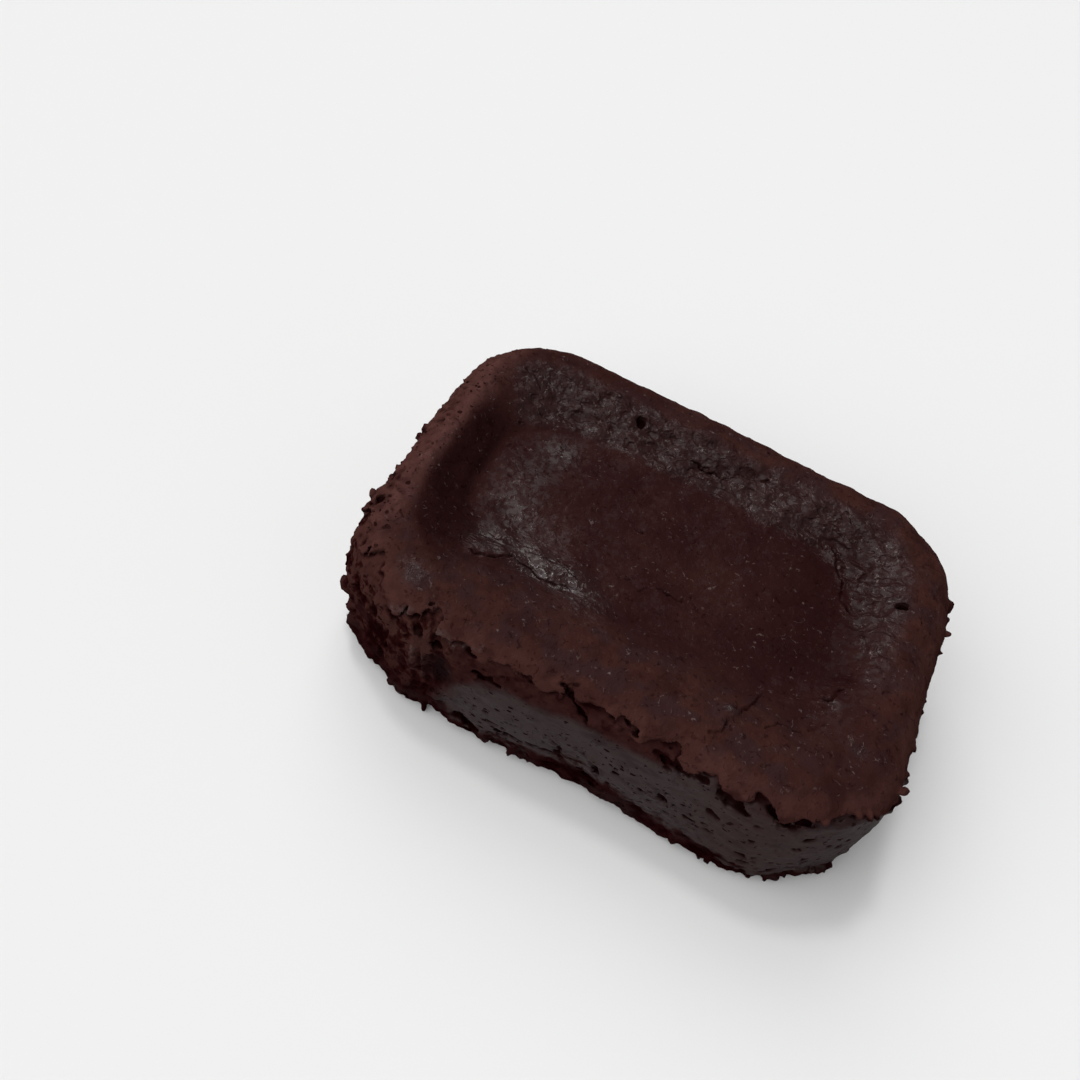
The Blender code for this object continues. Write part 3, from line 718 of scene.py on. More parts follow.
def one_piece(faces, count):
    """The faces of the largest piece: loose islands and sealed bubbles are dropped."""
    label = np.arange(count)
    ends = np.concatenate([faces[:, [0, 1]], faces[:, [1, 2]], faces[:, [2, 3]], faces[:, [3, 0]]])
    while True:
        low = np.minimum(label[ends[:, 0]], label[ends[:, 1]])
        before = label.copy()
        np.minimum.at(label, ends[:, 0], low)
        np.minimum.at(label, ends[:, 1], low)
        label = label[label]
        if np.array_equal(label, before):
            break
    return faces[label[faces[:, 0]] == np.bincount(label).argmax()]


def window(low, counts, start, end, reach):
    """The lattice's part within reach of a line: its slices, and its points."""
    first = np.floor((np.minimum(start, end) - reach - low) / CELL).astype(int)
    last = np.ceil((np.maximum(start, end) + reach - low) / CELL).astype(int) + 1
    first, last = np.clip(first, 0, counts), np.clip(last, 0, counts)
    axes = [low[k] + CELL * np.arange(first[k], last[k]) for k in range(3)]
    grid = np.stack(np.meshgrid(*axes, indexing="ij"), axis=-1)
    return tuple(slice(a, b) for a, b in zip(first, last)), grid.reshape(-1, 3), grid.shape[:3]


def corner_share(x, y, z):
    """How far each point lies in the torn front left corner, 0 to 1."""
    return ramp(-x - y + waves(x, y, z, CORNER_WAVES), *CORNER_RANGE)


def fragments(x, y, z):
    """Uneven height of torn crumb, about -1 to 1: upright ribs with grains on them."""
    return sum(amount * noise(x, y, stretch * z, wavelength, seed)
               for amount, stretch, wavelength, seed in FRAGMENTS)


def region(x, y, name, mask=1.0):
    """Soft mask of a region seen from above, times another mask."""
    for part_x, part_y, low, high in REGIONS[name]:
        mask = mask * ramp(part_x * x + part_y * y, low, high)
    return mask


def fine_plan(x, y):
    """The plan with the finest teeth of the lip and the narrowest parts of the crack under it."""
    plan = plan_of(x, y)
    corner = ramp(-x - y, *CORNER_LIP_RANGE)
    teeth = sum(amount * np.abs(plan_noise(x, y, *wave)) for amount, *wave in LIP_TEETH) - 0.4
    plan["ragged"] += (0.5 + 0.8 * corner) * teeth + 0.9 * corner * plan_noise(x, y, *CORNER_TEETH)
    frayed = 0.2 * plan_noise(x, y, *LIP_FRAY) + 0.4 * corner * plan_noise(x, y, *CORNER_FRAY)
    plan["lip"] += frayed - LIP_REACH
    plan["lip"] -= 0.7 * region(x, y, "right end") * np.abs(plan_noise(x, y, *RIGHT_FRAY))
    plan["top"] += 0.25 * plan_noise(x, y, *CREST_FRAY) * ramp(plan["share"], 0.7, 1.0)
    gap = plan["crack"] + 1.2 * plan_noise(x, y, *CRACK_FRAY) + 0.6 * corner - CRACK_CLOSED
    plan["crack"] = np.clip(gap, 0.0, FINE_CRACK_DEPTH)
    return plan


def torn_body(x, y, z, plan):
    """The form before its holes, with the ribs and cavities of the torn corner."""
    value = unbroken(x, y, z, plan)
    near = (np.abs(value) < 1.5) & (-x - y > CORNER_FROM) & (z < plan["ragged"] + 0.5) & (z > 0.6)
    at = x[near], y[near], z[near]
    value[near] -= FRAGMENT_HEIGHT * corner_share(*at) * fragments(*at)
    return value


def cut_slots(values, low, counts):
    """Takes the listed slots, tears and bubbles away."""
    for *ends, radius in HOLES:
        start, end = np.array(ends[:3]), np.array(ends[3:])
        place, points, shape = window(low, counts, start, end, radius + NEAR_HOLE)
        apart = from_line(points, start, end) + waves(*points.T, HOLE_WAVES)
        share = SLOT_SHARE if start[2] < BUBBLE_LEVEL else 1.0
        values[place] = smooth_max(values[place], (share * radius - apart).reshape(shape), HOLE_BLEND)


def add_lumps(values, low, counts, lumps):
    """Adds uneven crumbs: x, y, z, radius."""
    for *centre, radius in lumps:
        centre = np.array(centre)
        place, points, shape = window(low, counts, centre, centre, radius + NEAR_HOLE)
        apart = np.linalg.norm(points - centre, axis=1) + waves(*points.T, LUMP_WAVES)
        values[place] = smooth_min(values[place], (apart - radius).reshape(shape), LUMP_BLEND)


def on_outline(share):
    """The point at this share of the way round the cake, and the outward direction there."""
    r = CORNER_RADIUS
    in_x, in_y, quarter = LENGTH / 2 - r, WIDTH / 2 - r, 0.5 * math.pi * r
    runs = (2 * in_x, quarter, 2 * in_y, quarter) * 2
    corners = ((in_x, -in_y), (in_x, in_y), (-in_x, in_y), (-in_x, -in_y))
    along = share * sum(runs)
    for i, run in enumerate(runs):
        if along <= run:
            break
        along -= run
    side = i // 2
    turn = -0.5 * math.pi + 0.5 * math.pi * side + (along / r if i % 2 else 0.0)
    out = np.array((math.cos(turn), math.sin(turn)))
    if i % 2:
        return corners[side] + r * out, out
    return corners[side - 1] + r * out + along * np.array((-out[1], out[0])), out


def random_size(rng, smallest, spread, largest):
    """Mostly small, seldom large."""
    return min(smallest + spread * rng.exponential(1.0), largest)


def side_pores():
    """Random pores of the side: centre, outward direction, and half sizes along, up and inward."""
    rng = np.random.RandomState(5)
    pores = []
    while len(pores) < PORE_COUNT:
        at, out = on_outline(rng.rand())
        z = rng.uniform(*PORE_LEVELS)
        chance = PORE_CHANCE + FOOT_CHANCE * (z < FOOT_PORE_LEVEL)
        if at[1] < -FRONT_PORES_FROM:
            chance += sum(weight * math.exp(-((at[0] - cx) ** 2 + (z - cz) ** 2) / reach ** 2)
                          for cx, cz, reach, weight in PORE_CLUSTERS) + FRONT_CHANCE
        size = random_size(rng, *PORE_SIZES)
        stretch = rng.uniform(*PORE_STRETCH)
        depth = rng.uniform(*PORE_DEPTH)
        if rng.rand() * MOST_CHANCE > chance:
            continue
        edge = rounded_rectangle(*at, LENGTH / 2, WIDTH / 2, CORNER_RADIUS)
        at = at - out * (edge - bumps(*at, OUTLINE_SWELLS) + side_inset(z) + 0.1)
        half = np.array((size * stretch, size, size * depth))
        pores.append((np.array((*at, z)), np.array((*out, 0.0)), half))
    return pores


def cut_pores(values, low, counts):
    for centre, out, half in side_pores():
        place, points, shape = window(low, counts, centre, centre, half.max() + NEAR_PORE)
        offset = points - centre
        along = np.array((-out[1], out[0], 0.0))
        scaled = np.stack([offset @ along, offset[:, 2], offset @ out], axis=1) / half
        apart = (1.0 + waves(*points.T, PORE_WAVES) - np.linalg.norm(scaled, axis=1)) * half.min()
        values[place] = smooth_max(values[place], apart.reshape(shape), PORE_BLEND)


def side_crumbs():
    """Random crumbs that cling to the side, its foot, its lip and the torn corner: x, y, z, radius."""
    rng = np.random.RandomState(9)
    crumbs = []
    while len(crumbs) < CRUMB_COUNT:
        at, out = on_outline(rng.rand())
        z = rng.choice([rng.uniform(*levels) for levels in CRUMB_LEVELS])
        radius = random_size(rng, *CRUMB_SIZES)
        if BARE_LEVELS[0] < z < BARE_LEVELS[1] and -at[0] - at[1] < CRUMB_CORNER:
            continue
        further = CRUMB_OUT if z < BARE_LEVELS[1] else HIGH_CRUMB_OUT
        at = at + out * (bumps(*at, OUTLINE_SWELLS) - side_inset(z) + further)
        crumbs.append((*at, z, radius))
    while len(crumbs) < CRUMB_COUNT + END_CRUMBS:
        at, out = on_outline(rng.rand())
        if at[0] < END_FROM and (at[0] > -END_FROM or rng.rand() < 1.0 - LEFT_END_SHARE):
            continue
        at = at + out * (bumps(*at, OUTLINE_SWELLS) - rng.uniform(*END_CRUMB_DEPTHS))
        crumbs.append((*at, rng.uniform(*END_CRUMB_LEVELS), rng.uniform(*END_CRUMB_SIZES)))
    return crumbs


def trilinear(values, low, points):
    """Value and slope of the lattice field at each point."""
    scaled = (points - low) / CELL
    cell = np.clip(np.floor(scaled).astype(int), 0, np.array(values.shape) - 2)
    u, v, w = (scaled - cell).T
    c = corner_values(values, cell)
    x00, x10 = c[0] + (c[1] - c[0]) * u, c[2] + (c[3] - c[2]) * u
    x01, x11 = c[4] + (c[5] - c[4]) * u, c[6] + (c[7] - c[6]) * u
    y0, y1 = x00 + (x10 - x00) * v, x01 + (x11 - x01) * v
    dx0 = (c[1] - c[0]) * (1 - v) + (c[3] - c[2]) * v
    dx1 = (c[5] - c[4]) * (1 - v) + (c[7] - c[6]) * v
    slope = np.stack([dx0 * (1 - w) + dx1 * w, (x10 - x00) * (1 - w) + (x11 - x01) * w, y1 - y0], axis=1)
    return y0 + (y1 - y0) * w, slope / CELL


def settled(values, low, points):
    """Moves each point down the slope of the lattice field to its surface."""
    for _ in range(SETTLE_ROUNDS):
        value, slope = trilinear(values, low, points)
        step = slope * (value / np.maximum(np.sum(slope ** 2, axis=1), 0.25))[:, None]
        points = points - np.clip(step, -0.4 * CELL, 0.4 * CELL)
    return points


def normals_of(points, faces):
    diagonals = points[faces[:, 2]] - points[faces[:, 0]], points[faces[:, 3]] - points[faces[:, 1]]
    face_normals = np.cross(*diagonals)
    normals = np.zeros_like(points)
    for corner in range(4):
        for axis in range(3):
            normals[:, axis] += np.bincount(faces[:, corner], face_normals[:, axis], len(points))
    return normals / np.maximum(np.linalg.norm(normals, axis=1), 1e-12)[:, None]


def ridged(x, y, z, wavelength, seed):
    """Noise with sharp ridges, 0 to 1."""
    return 1.0 - np.minimum(np.abs(noise(x, y, z, wavelength, seed)) * 2.2, 1.0)


def wavered(points, table, seeds):
    """The points, each coordinate shifted by waves of its own."""
    shifts = [waves(*points.T, [(*wave, seed + step) for step, wave in enumerate(table)]) for seed in seeds]
    return points + np.stack(shifts, axis=1)


def pale_marks(points):
    """How much each point belongs to a pale rib or painted highlight, 0 to 1, and how far it stands out
    there.
    """
    shifted = wavered(points, *PALE_WAVER)
    broken = np.clip(0.8 + waves(*points.T, BROKEN_WAVES), 0.2, 1.0)
    share, rise = np.zeros(len(points)), np.zeros(len(points))
    for width, height, *ends in PALE_MARKS:
        near = broken * np.exp(-(from_line(shifted, ends[:3], ends[3:]) / width) ** 4)
        share, rise = np.maximum(share, near), np.maximum(rise, height * near)
    return share, rise


def side_zones(x, y, z, below, inward):
    """Masks of the side: all of it, its torn crumb and its satin band."""
    corner = corner_share(x, y, z)
    patchy = waves(x, y, z, PATCH_WAVES)
    side = ramp(below + corner * (patchy - 1.8), -0.2, 0.5) * ramp(CRUST_DEPTH - inward, 0.0, 2.0)
    foot_line = np.interp(x, FOOT_AT, FOOT_HEIGHT) + plan_waves(x, y, FOOT_WAVES)
    frayed = z + 2.0 * noise(0.5 * x, 0.5 * y, z, *FOOT_FRAY) + 1.3 * noise(x, y, 1.5 * z, *FINE_FOOT_FRAY)
    foot = 1.0 - ramp(frayed, foot_line - FOOT_SOFTNESS, foot_line + FOOT_SOFTNESS)
    torn = np.maximum(corner, foot) * side
    band_line = BACK_BAND + region(x, y, "front band") * (np.interp(x, BAND_AT, BAND_HEIGHT) - BACK_BAND)
    band_line += plan_waves(x, y, BAND_WAVES)
    level = z + waves(x, y, z, LEVEL_WAVES)
    band = side * (1.0 - torn) * (1.0 - ramp(level, band_line - BAND_SOFTNESS, band_line + BAND_SOFTNESS))
    return side, torn, band * (1.0 - 0.35 * region(x, y, "faint band"))


def zones(points):
    """Named masks of the surface, each 0 to 1, from where each point lies."""
    x, y, z = points.T
    plan = fine_plan(x, y)
    solid = torn_body(x, y, z, plan)
    inward = -plan["edge"]
    below = plan["ragged"] - z
    side, torn, band = side_zones(x, y, z, below, inward)
    top = 1.0 - ramp(below, -0.2, 0.8) * ramp(CRUST_DEPTH - inward, 0.0, 2.0)
    crack = plan["crack"] * np.exp(-((below - CRACK_DROP) / CRACK_HALF_HEIGHT) ** 2)
    crack = crack * ramp(3.5 - inward, 0.0, 1.0)
    share = plan["share"]
    slope = 4.0 * share * (1.0 - share)
    walls = region(x, y, "back wall") + region(x, y, "right wall")
    wall = top * ramp(slope, 0.1, 0.7) * np.clip(walls, 0.0, 1.0)
    dull = np.maximum(region(x, y, "dull right"), region(x, y, "dull back"))
    dark_floor = region(x, y, "dark floor") * (1.0 - ramp(share, 0.2, 0.6))
    away = np.linalg.norm(points - HOLLOW_AT, axis=1)
    hollow = 1.0 - ramp(away, 0.7 * HOLLOW_REACH, HOLLOW_REACH)
    holes = np.clip((-solid - 0.1 - 0.4 * wall) / 0.4, 0.0, 1.0)
    corner = corner_share(x, y, z)
    return {
        # Painted shade in holes and in the crack under the lip, lighter in the hollow
        "pit": np.maximum(holes, ramp(crack, 0.35, 1.0)) * (1.0 - 0.8 * hollow),
        # Painted shade of the hollow: full in its holes, half on the side round it
        "hollow": hollow * np.maximum(holes, 0.5 * side),
        "pale": pale_marks(points)[0] * (1.0 - holes),
        "flat": top * (1.0 - side) * ramp(inward, *FLAT_RANGE),
        "side": side,
        "torn": torn,
        "band": band,
        "wall": wall,
        "sheen": top * np.clip(bumps(x, y, SHEEN_SPOTS), 0.0, 1.0),
        "rim": top * ramp(share, 0.6, 1.0) * (1.0 - 0.45 * dull),
        "front": top * region(x, y, "front rim") * (1.0 - 0.8 * region(x, y, "front right")),
        "relief": np.clip(0.5 + 0.8 * fragments(x, y, z) + 0.12 * ramp(z, 14.0, 19.0), 0.0, 1.0),
        "high": np.maximum(ramp(z, 10.0, 16.0), 0.6 * corner * ramp(z, 5.0, 9.0)),
        "left": top * region(x, y, "left end"),
        "shaded": top * np.maximum(0.8 * dark_floor, region(x, y, "dark wall", ramp(slope, 0.2, 0.8))),
    }


def detailed(points, normals):
    """Moves the surface by the fine relief of skin and crumb."""
    x, y, z = points.T
    zone = zones(points)
    wrinkled = sum(amount * (ridged(stretch * x, 1.1 * y, z, wavelength, seed) - 0.5)
                   for amount, stretch, wavelength, seed in WRINKLES)
    foot = zone["torn"] * (1.0 - corner_share(x, y, z))
    crumb = 0.6 * fragments(x, y, z)
    satin = (1.0 + region(x, y, "coarse band")) * waves(x, y, 1.6 * z, SATIN_WAVES)
    blistered = 0.3 * (ridged(x, y, z, *BLISTERS) - 0.6) + waves(x, y, z, BLISTER_WAVES)
    creased = np.maximum(zone["wall"], 0.3 * np.maximum(zone["sheen"], zone["shaded"]))
    amount = (1.0 - zone["side"]) * waves(x, y, z, SKIN_WAVES) + creased * wrinkled
    amount = amount + foot * crumb + zone["band"] * satin
    amount += (1.0 - zone["side"]) * np.maximum(zone["left"], 0.3 * zone["rim"]) * blistered
    amount = amount + zone["side"] * pale_marks(points)[1]
    return points + normals * (amount * ramp(z, 0.0, 1.0))[:, None]


def rim_pores(rng):
    """Small round holes of the rim, most of them at its left end: the x, y of each."""
    pores = []
    while len(pores) < RIM_PORES:
        at, out = on_outline(rng.rand())
        at = at - out * rng.uniform(*RIM_PORE_DEPTHS)
        left = region(*at, "left pores") * (0.5 + 0.4 * (at[1] > BACK_PORES_FROM))
        if rng.rand() < 0.12 + left + 0.25 * region(*at, "right pores"):
            pores.append(at)
    return pores


def cracks():
    """All cracks and fine holes: half width, depth, and their points on the top or, with z, the side."""
    rng = np.random.RandomState(8)
    found = [(width, depth, np.array(points).reshape(-1, 2)) for width, depth, *points in CRACKS]
    for _ in range(HAIRLINES):
        at = np.array([rng.uniform(*limits) for limits in HAIRLINE_FIELD])
        turn = rng.normal(0.1, 0.6)
        half = 0.5 * rng.uniform(*HAIRLINE_LENGTHS) * np.array((math.cos(turn), math.sin(turn)))
        bend = rng.uniform(-HAIRLINE_BEND, HAIRLINE_BEND, 2)
        width, depth = rng.uniform(*HAIRLINE_WIDTHS), rng.uniform(*HAIRLINE_DEPTHS)
        found.append((width, depth, np.array((at - half, at + bend, at + half))))
    for at in rim_pores(rng):
        width, depth = random_size(rng, *RIM_PORE_SIZES), rng.uniform(0.15, 0.35)
        found.append((width, depth, np.array((at, at + rng.uniform(-0.25, 0.25, 2)))))
    return found + [(width, depth, np.array(points).reshape(-1, 3)) for width, depth, *points in SIDE_MARKS]


def crack_relief(points):
    """Height of the cracks (-) and their curled edges (+), the shade in them, and what lies close by."""
    z = points[:, 2]
    shifted = wavered(points, *CRACK_WAVER)
    curl = np.clip(0.4 + waves(*points.T, CURL_WAVES), 0.0, 1.0)
    open_share = np.clip(0.75 + waves(*points.T, OPEN_WAVES), 0.3, 1.2)
    height, shade, close = np.zeros(len(points)), np.zeros(len(points)), np.zeros(len(points), bool)
    order = np.argsort(shifted[:, 0])
    sorted_x = shifted[order, 0]
    for width, depth, line in cracks():
        size = line.shape[1]
        low, high = line.min(axis=0) - 4.0 * width - 0.1, line.max(axis=0) + 4.0 * width + 0.1
        strip = order[slice(*np.searchsorted(sorted_x, (low[0], high[0])))]
        inside = np.all((shifted[strip, :size] > low) & (shifted[strip, :size] < high), axis=1)
        near = strip[inside & ((z[strip] > CRACKED_FROM) | (size == 3))]
        apart = np.min([from_line(shifted[near, :size], a, b) for a, b in zip(line, line[1:])], axis=0)
        hollow = np.exp(-(apart / width) ** 2) * open_share[near]
        edge = np.exp(-((apart - 2.0 * width) / (0.9 * width)) ** 2)
        height[near] += depth * (0.55 * curl[near] * edge - hollow)
        shade[near] = np.maximum(shade[near], hollow * min(depth / DARK_DEPTH, 1.0))
        close[near] |= apart < 2.5 * width
    return height, shade, close


def cake_surface():
    """Points and quads of the whole cake, in millimetres."""
    low = np.array([-LENGTH / 2 - MARGIN, -WIDTH / 2 - MARGIN, -2.0 * CELL])
    sizes = (LENGTH + 2.0 * MARGIN, WIDTH + 2.0 * MARGIN, CREST_HEIGHT + HEADROOM)
    counts = np.array([int(np.ceil(size / CELL)) for size in sizes])
    axes = [low[k] + CELL * np.arange(counts[k]) for k in range(3)]
    x, y = [side.ravel() for side in np.meshgrid(axes[0], axes[1], indexing="ij")]
    plan = fine_plan(x, y)
    levels = [torn_body(x, y, np.full(len(x), z), plan).reshape(counts[:2]) for z in axes[2]]
    values = np.stack(levels, axis=2)
    add_lumps(values, low, counts, list(LUMPS) + side_crumbs())
    cut_slots(values, low, counts)
    cut_pores(values, low, counts)
    made_clear(values)
    points, number = crossing_points(values, low)
    faces = one_piece(crossing_faces(values, number), len(points))
    used, number = np.unique(faces, return_inverse=True)
    points, faces = points[used], number.reshape(faces.shape)
    points = settled(values, low, points)
    points = detailed(points, normals_of(points, faces))
    points[:, 2] = np.maximum(points[:, 2], 0.0)
    return points, faces


def quad_mesh(name, points, faces):
    mesh = bpy.data.meshes.new(name)
    mesh.vertices.add(len(points))
    mesh.vertices.foreach_set("co", points.ravel())
    mesh.loops.add(faces.size)
    mesh.loops.foreach_set("vertex_index", faces.ravel())
    mesh.polygons.add(len(faces))
    mesh.polygons.foreach_set("loop_start", np.arange(0, faces.size, 4))
    mesh.update(calc_edges=True)
    mesh.validate()
    return mesh


def reduced(item):
    """Merges triangles where the surface is plain."""
    split = item.modifiers.new("split", "TRIANGULATE")
    split.quad_method = "SHORTEST_DIAGONAL"
    modifier = item.modifiers.new("reduce", "DECIMATE")
    modifier.ratio = min(1.0, MOST_TRIANGLES / (2.0 * len(item.data.polygons)))
    bpy.context.view_layer.update()
    graph = bpy.context.evaluated_depsgraph_get()
    mesh = bpy.data.meshes.new_from_object(item.evaluated_get(graph))
    item.modifiers.clear()
    item.data = mesh


def points_of(mesh):
    points = np.empty(len(mesh.vertices) * 3)
    mesh.vertices.foreach_get("co", points)
    return points.reshape(-1, 3)


def refined(mesh):
    """Splits the triangles near cracks until they are fine enough to show them."""
    form = bmesh.new()
    form.from_mesh(mesh)
    for _ in range(REFINE_ROUNDS):
        points = np.array([vert.co for vert in form.verts])
        close = crack_relief(points)[2].tolist()
        form.verts.index_update()
        edges = [edge for edge in form.edges if edge.calc_length() > FINEST_EDGE
                 and (close[edge.verts[0].index] or close[edge.verts[1].index])]
        bmesh.ops.subdivide_edges(form, edges=edges, cuts=1)
        bmesh.ops.triangulate(form, faces=[face for face in form.faces if len(face.verts) > 3])
    form.to_mesh(mesh)
    form.free()


def cracked(mesh):
    """Sinks the cracks into the mesh, and returns how deep in one each point is, 0 to 1, as painted shade.
    """
    refined(mesh)
    points = points_of(mesh)
    normals = np.empty(len(mesh.vertices) * 3)
    mesh.vertex_normals.foreach_get("vector", normals)
    height, shade, _ = crack_relief(points)
    points += normals.reshape(-1, 3) * height[:, None]
    points[:, 2] = np.maximum(points[:, 2], 0.0)
    mesh.vertices.foreach_set("co", points.ravel())
    return shade


def side_faces(mesh, masks):
    """Gives the second, matt material to the outer faces and to the insides of holes."""
    corners = np.empty(len(mesh.polygons) * 3, np.int32)
    mesh.polygons.foreach_get("vertices", corners)
    outer = np.maximum(1.0 - masks["flat"], masks["pit"])
    share = outer[corners.reshape(-1, 3)].mean(axis=1)
    mesh.polygons.foreach_set("material_index", (share > 0.5).astype(np.int32))


def cake():
    """The brownie, centred as its solid is; also returns how far it was shifted, in millimetres."""
    item = bpy.data.objects.new("brownie_crust", quad_mesh("brownie_crust", *cake_surface()))
    bpy.context.scene.collection.objects.link(item)
    reduced(item)
    mesh = item.data
    shade = cracked(mesh)
    points = points_of(mesh)
    masks = zones(points)
    # Painted shade of the cracks joins that of the holes
    masks["pit"] = np.maximum(masks["pit"], shade)
    masks = {name: mask.astype(np.float32) for name, mask in masks.items()}
    for name, mask in masks.items():
        mesh.attributes.new(name, "FLOAT", "POINT").data.foreach_set("value", mask)
    shift = -0.5 * (points.min(axis=0) + points.max(axis=0))
    shift[2] = 0.0
    mesh.vertices.foreach_set("co", ((points + shift) * 0.001).ravel())
    mesh.shade_smooth()
    mesh.materials.clear()
    mesh.materials.append(crust_material("crust", SKIN_COAT_ROUGHNESS))
    mesh.materials.append(crust_material("crumb", SIDE_COAT_ROUGHNESS))
    side_faces(mesh, masks)
    mesh.update()
    return item, shift


class Graph:
    """Short calls for building a node material."""

    def __init__(self, name):
        self.material = bpy.data.materials.new(name)
        self.material.use_nodes = True
        self.nodes = self.material.node_tree.nodes
        self.links = self.material.node_tree.links
        self.shader = self.nodes["Principled BSDF"]

    def put(self, socket, value):
        if isinstance(value, bpy.types.NodeSocket):
            self.links.new(value, socket)
        else:
            socket.default_value = value

    def node(self, kind, inputs, **settings):
        """A new node with these settings, and with each input linked or set."""
        node = self.nodes.new("ShaderNode" + kind)
        for name, value in settings.items():
            setattr(node, name, value)
        for name, value in inputs.items():
            self.put(node.inputs[name], value)
        return node

    def math(self, operation, a, b=0.0, clamp=False):
        return self.node("Math", {0: a, 1: b}, operation=operation, use_clamp=clamp).outputs[0]

    def times(self, value, *others):
        for other in others:
            value = self.math("MULTIPLY", value, other)
        return value

    def plus(self, a, b, clamp=False):
        return self.math("ADD", a, b, clamp)

    def larger(self, a, b):
        return self.math("MAXIMUM", a, b)

    def rest(self, value):
        """What is left of 1."""
        return self.math("SUBTRACT", 1.0, value)

    def ramp(self, value, low, high, to_low=0.0, to_high=1.0):
        inputs = dict(enumerate((value, low, high, to_low, to_high)))
        return self.node("MapRange", inputs, interpolation_type="SMOOTHSTEP").outputs[0]

    def mix(self, share, a, b):
        return self.node("Mix", {"Factor": share, "A": a, "B": b}, data_type="RGBA").outputs["Result"]

    def mask(self, name):
        return self.node("Attribute", {}, attribute_name=name).outputs["Fac"]

    def millimetres(self, stretch=(1.0, 1.0, 1.0)):
        place = self.node("TexCoord", {}).outputs["Object"]
        scale = [1000.0 * share for share in stretch]
        return self.node("Mapping", {"Vector": place, "Scale": scale}).outputs["Vector"]

    def noise(self, place, wavelength, detail=2.0, output="Fac"):
        inputs = {"Vector": place, "Scale": 1.0 / wavelength, "Detail": detail}
        return self.node("TexNoise", inputs).outputs[output]

    def patches(self, place, wavelength, low, high, detail=2.0, least=0.0, most=1.0):
        """Soft random patches: least where the noise is under low, most where it is over high."""
        return self.ramp(self.noise(place, wavelength, detail), low, high, least, most)

    def warped(self, place, wavelength, amount):
        """The same place, shifted by a soft random field."""
        field = self.noise(place, wavelength, output="Color")
        inputs = {0: field, 1: [amount] * 3, 2: place}
        return self.node("VectorMath", inputs, operation="MULTIPLY_ADD").outputs[0]

    def lines(self, place, wavelength, thickness, detail=2.0):
        """Thin wandering lines: 1 on them, 0 beside them."""
        apart = self.math("ABSOLUTE", self.math("SUBTRACT", self.noise(place, wavelength, detail), 0.5))
        return self.ramp(apart, 0.0, thickness, 1.0, 0.0)

    def pores(self, place, wavelength, largest):
        """Small holes of random size: 1 in them, 0 between them."""
        cell = self.node("TexVoronoi", {"Vector": place, "Scale": 1.0 / wavelength}).outputs
        spread = self.node("SeparateColor", {0: cell["Color"]}).outputs[0]
        radius = self.times(self.math("POWER", spread, 2.0), largest)
        return self.ramp(self.math("SUBTRACT", cell["Distance"], radius), -0.05, 0.05, 1.0, 0.0)

    def bump(self, height, depth, under=None):
        inputs = {"Distance": depth * 0.001, "Height": height}
        if under is not None:
            inputs["Normal"] = under
        return self.node("Bump", inputs).outputs["Normal"]


# Colours
SKIN = (0.0235, 0.0076, 0.0074, 1.0)
SKIN_WARM = (0.0300, 0.0108, 0.0094, 1.0)
SKIN_DARK = (0.0145, 0.0040, 0.0039, 1.0)
RIM = (0.0435, 0.0166, 0.0134, 1.0)
RIM_MAUVE = (0.0325, 0.0150, 0.0152, 1.0)
PAINTED_SHEEN = (0.0310, 0.0180, 0.0185, 1.0)
RIM_LEFT = (0.0830, 0.0350, 0.0310, 1.0)
OUTER = (0.0620, 0.0245, 0.0205, 1.0)
SATIN = (0.0265, 0.0145, 0.0148, 1.0)
SATIN_DARK = (0.0170, 0.0070, 0.0082, 1.0)
STRIP = (0.0330, 0.0118, 0.0108, 1.0)
STRIP_DARK = (0.0240, 0.0076, 0.0070, 1.0)
CRUMB = (0.0195, 0.0044, 0.0040, 1.0)
FOOT = (0.0140, 0.0026, 0.0032, 1.0)
PAINTED_GLINT = (0.1900, 0.1350, 0.1250, 1.0)
FLAKE = (0.0450, 0.0180, 0.0155, 1.0)
PALE = (0.0850, 0.0560, 0.0540, 1.0)
HOLLOW_SHADE = (0.0120, 0.0055, 0.0062, 1.0)
# Painted shade of holes, cracks, pin holes, nicks and the gaps between crumb grains
PIT_SHADE = (0.0080, 0.0011, 0.0013, 1.0)
STAGE = (0.86, 0.86, 0.86, 1.0)

# Roughness, and the clear coat's share and roughness
SMOOTHEST = 0.44
ROUGHEST = 0.58
WALL_COAT = 0.26
SHEEN_COAT = 0.85
SKIN_COAT = 0.06
PAINTED_GLINT_COAT = 0.3
BAND_COAT = 0.3
HOLE_COAT = 0.05
SKIN_COAT_ROUGHNESS = 0.17
SIDE_COAT_ROUGHNESS = 0.33

# Depths of the finest relief, in millimetres
SKIN_RELIEF = 0.16
FOLD_RELIEF = 0.3
GRAIN_RELIEF = 0.3
PORE_RELIEF = 0.2


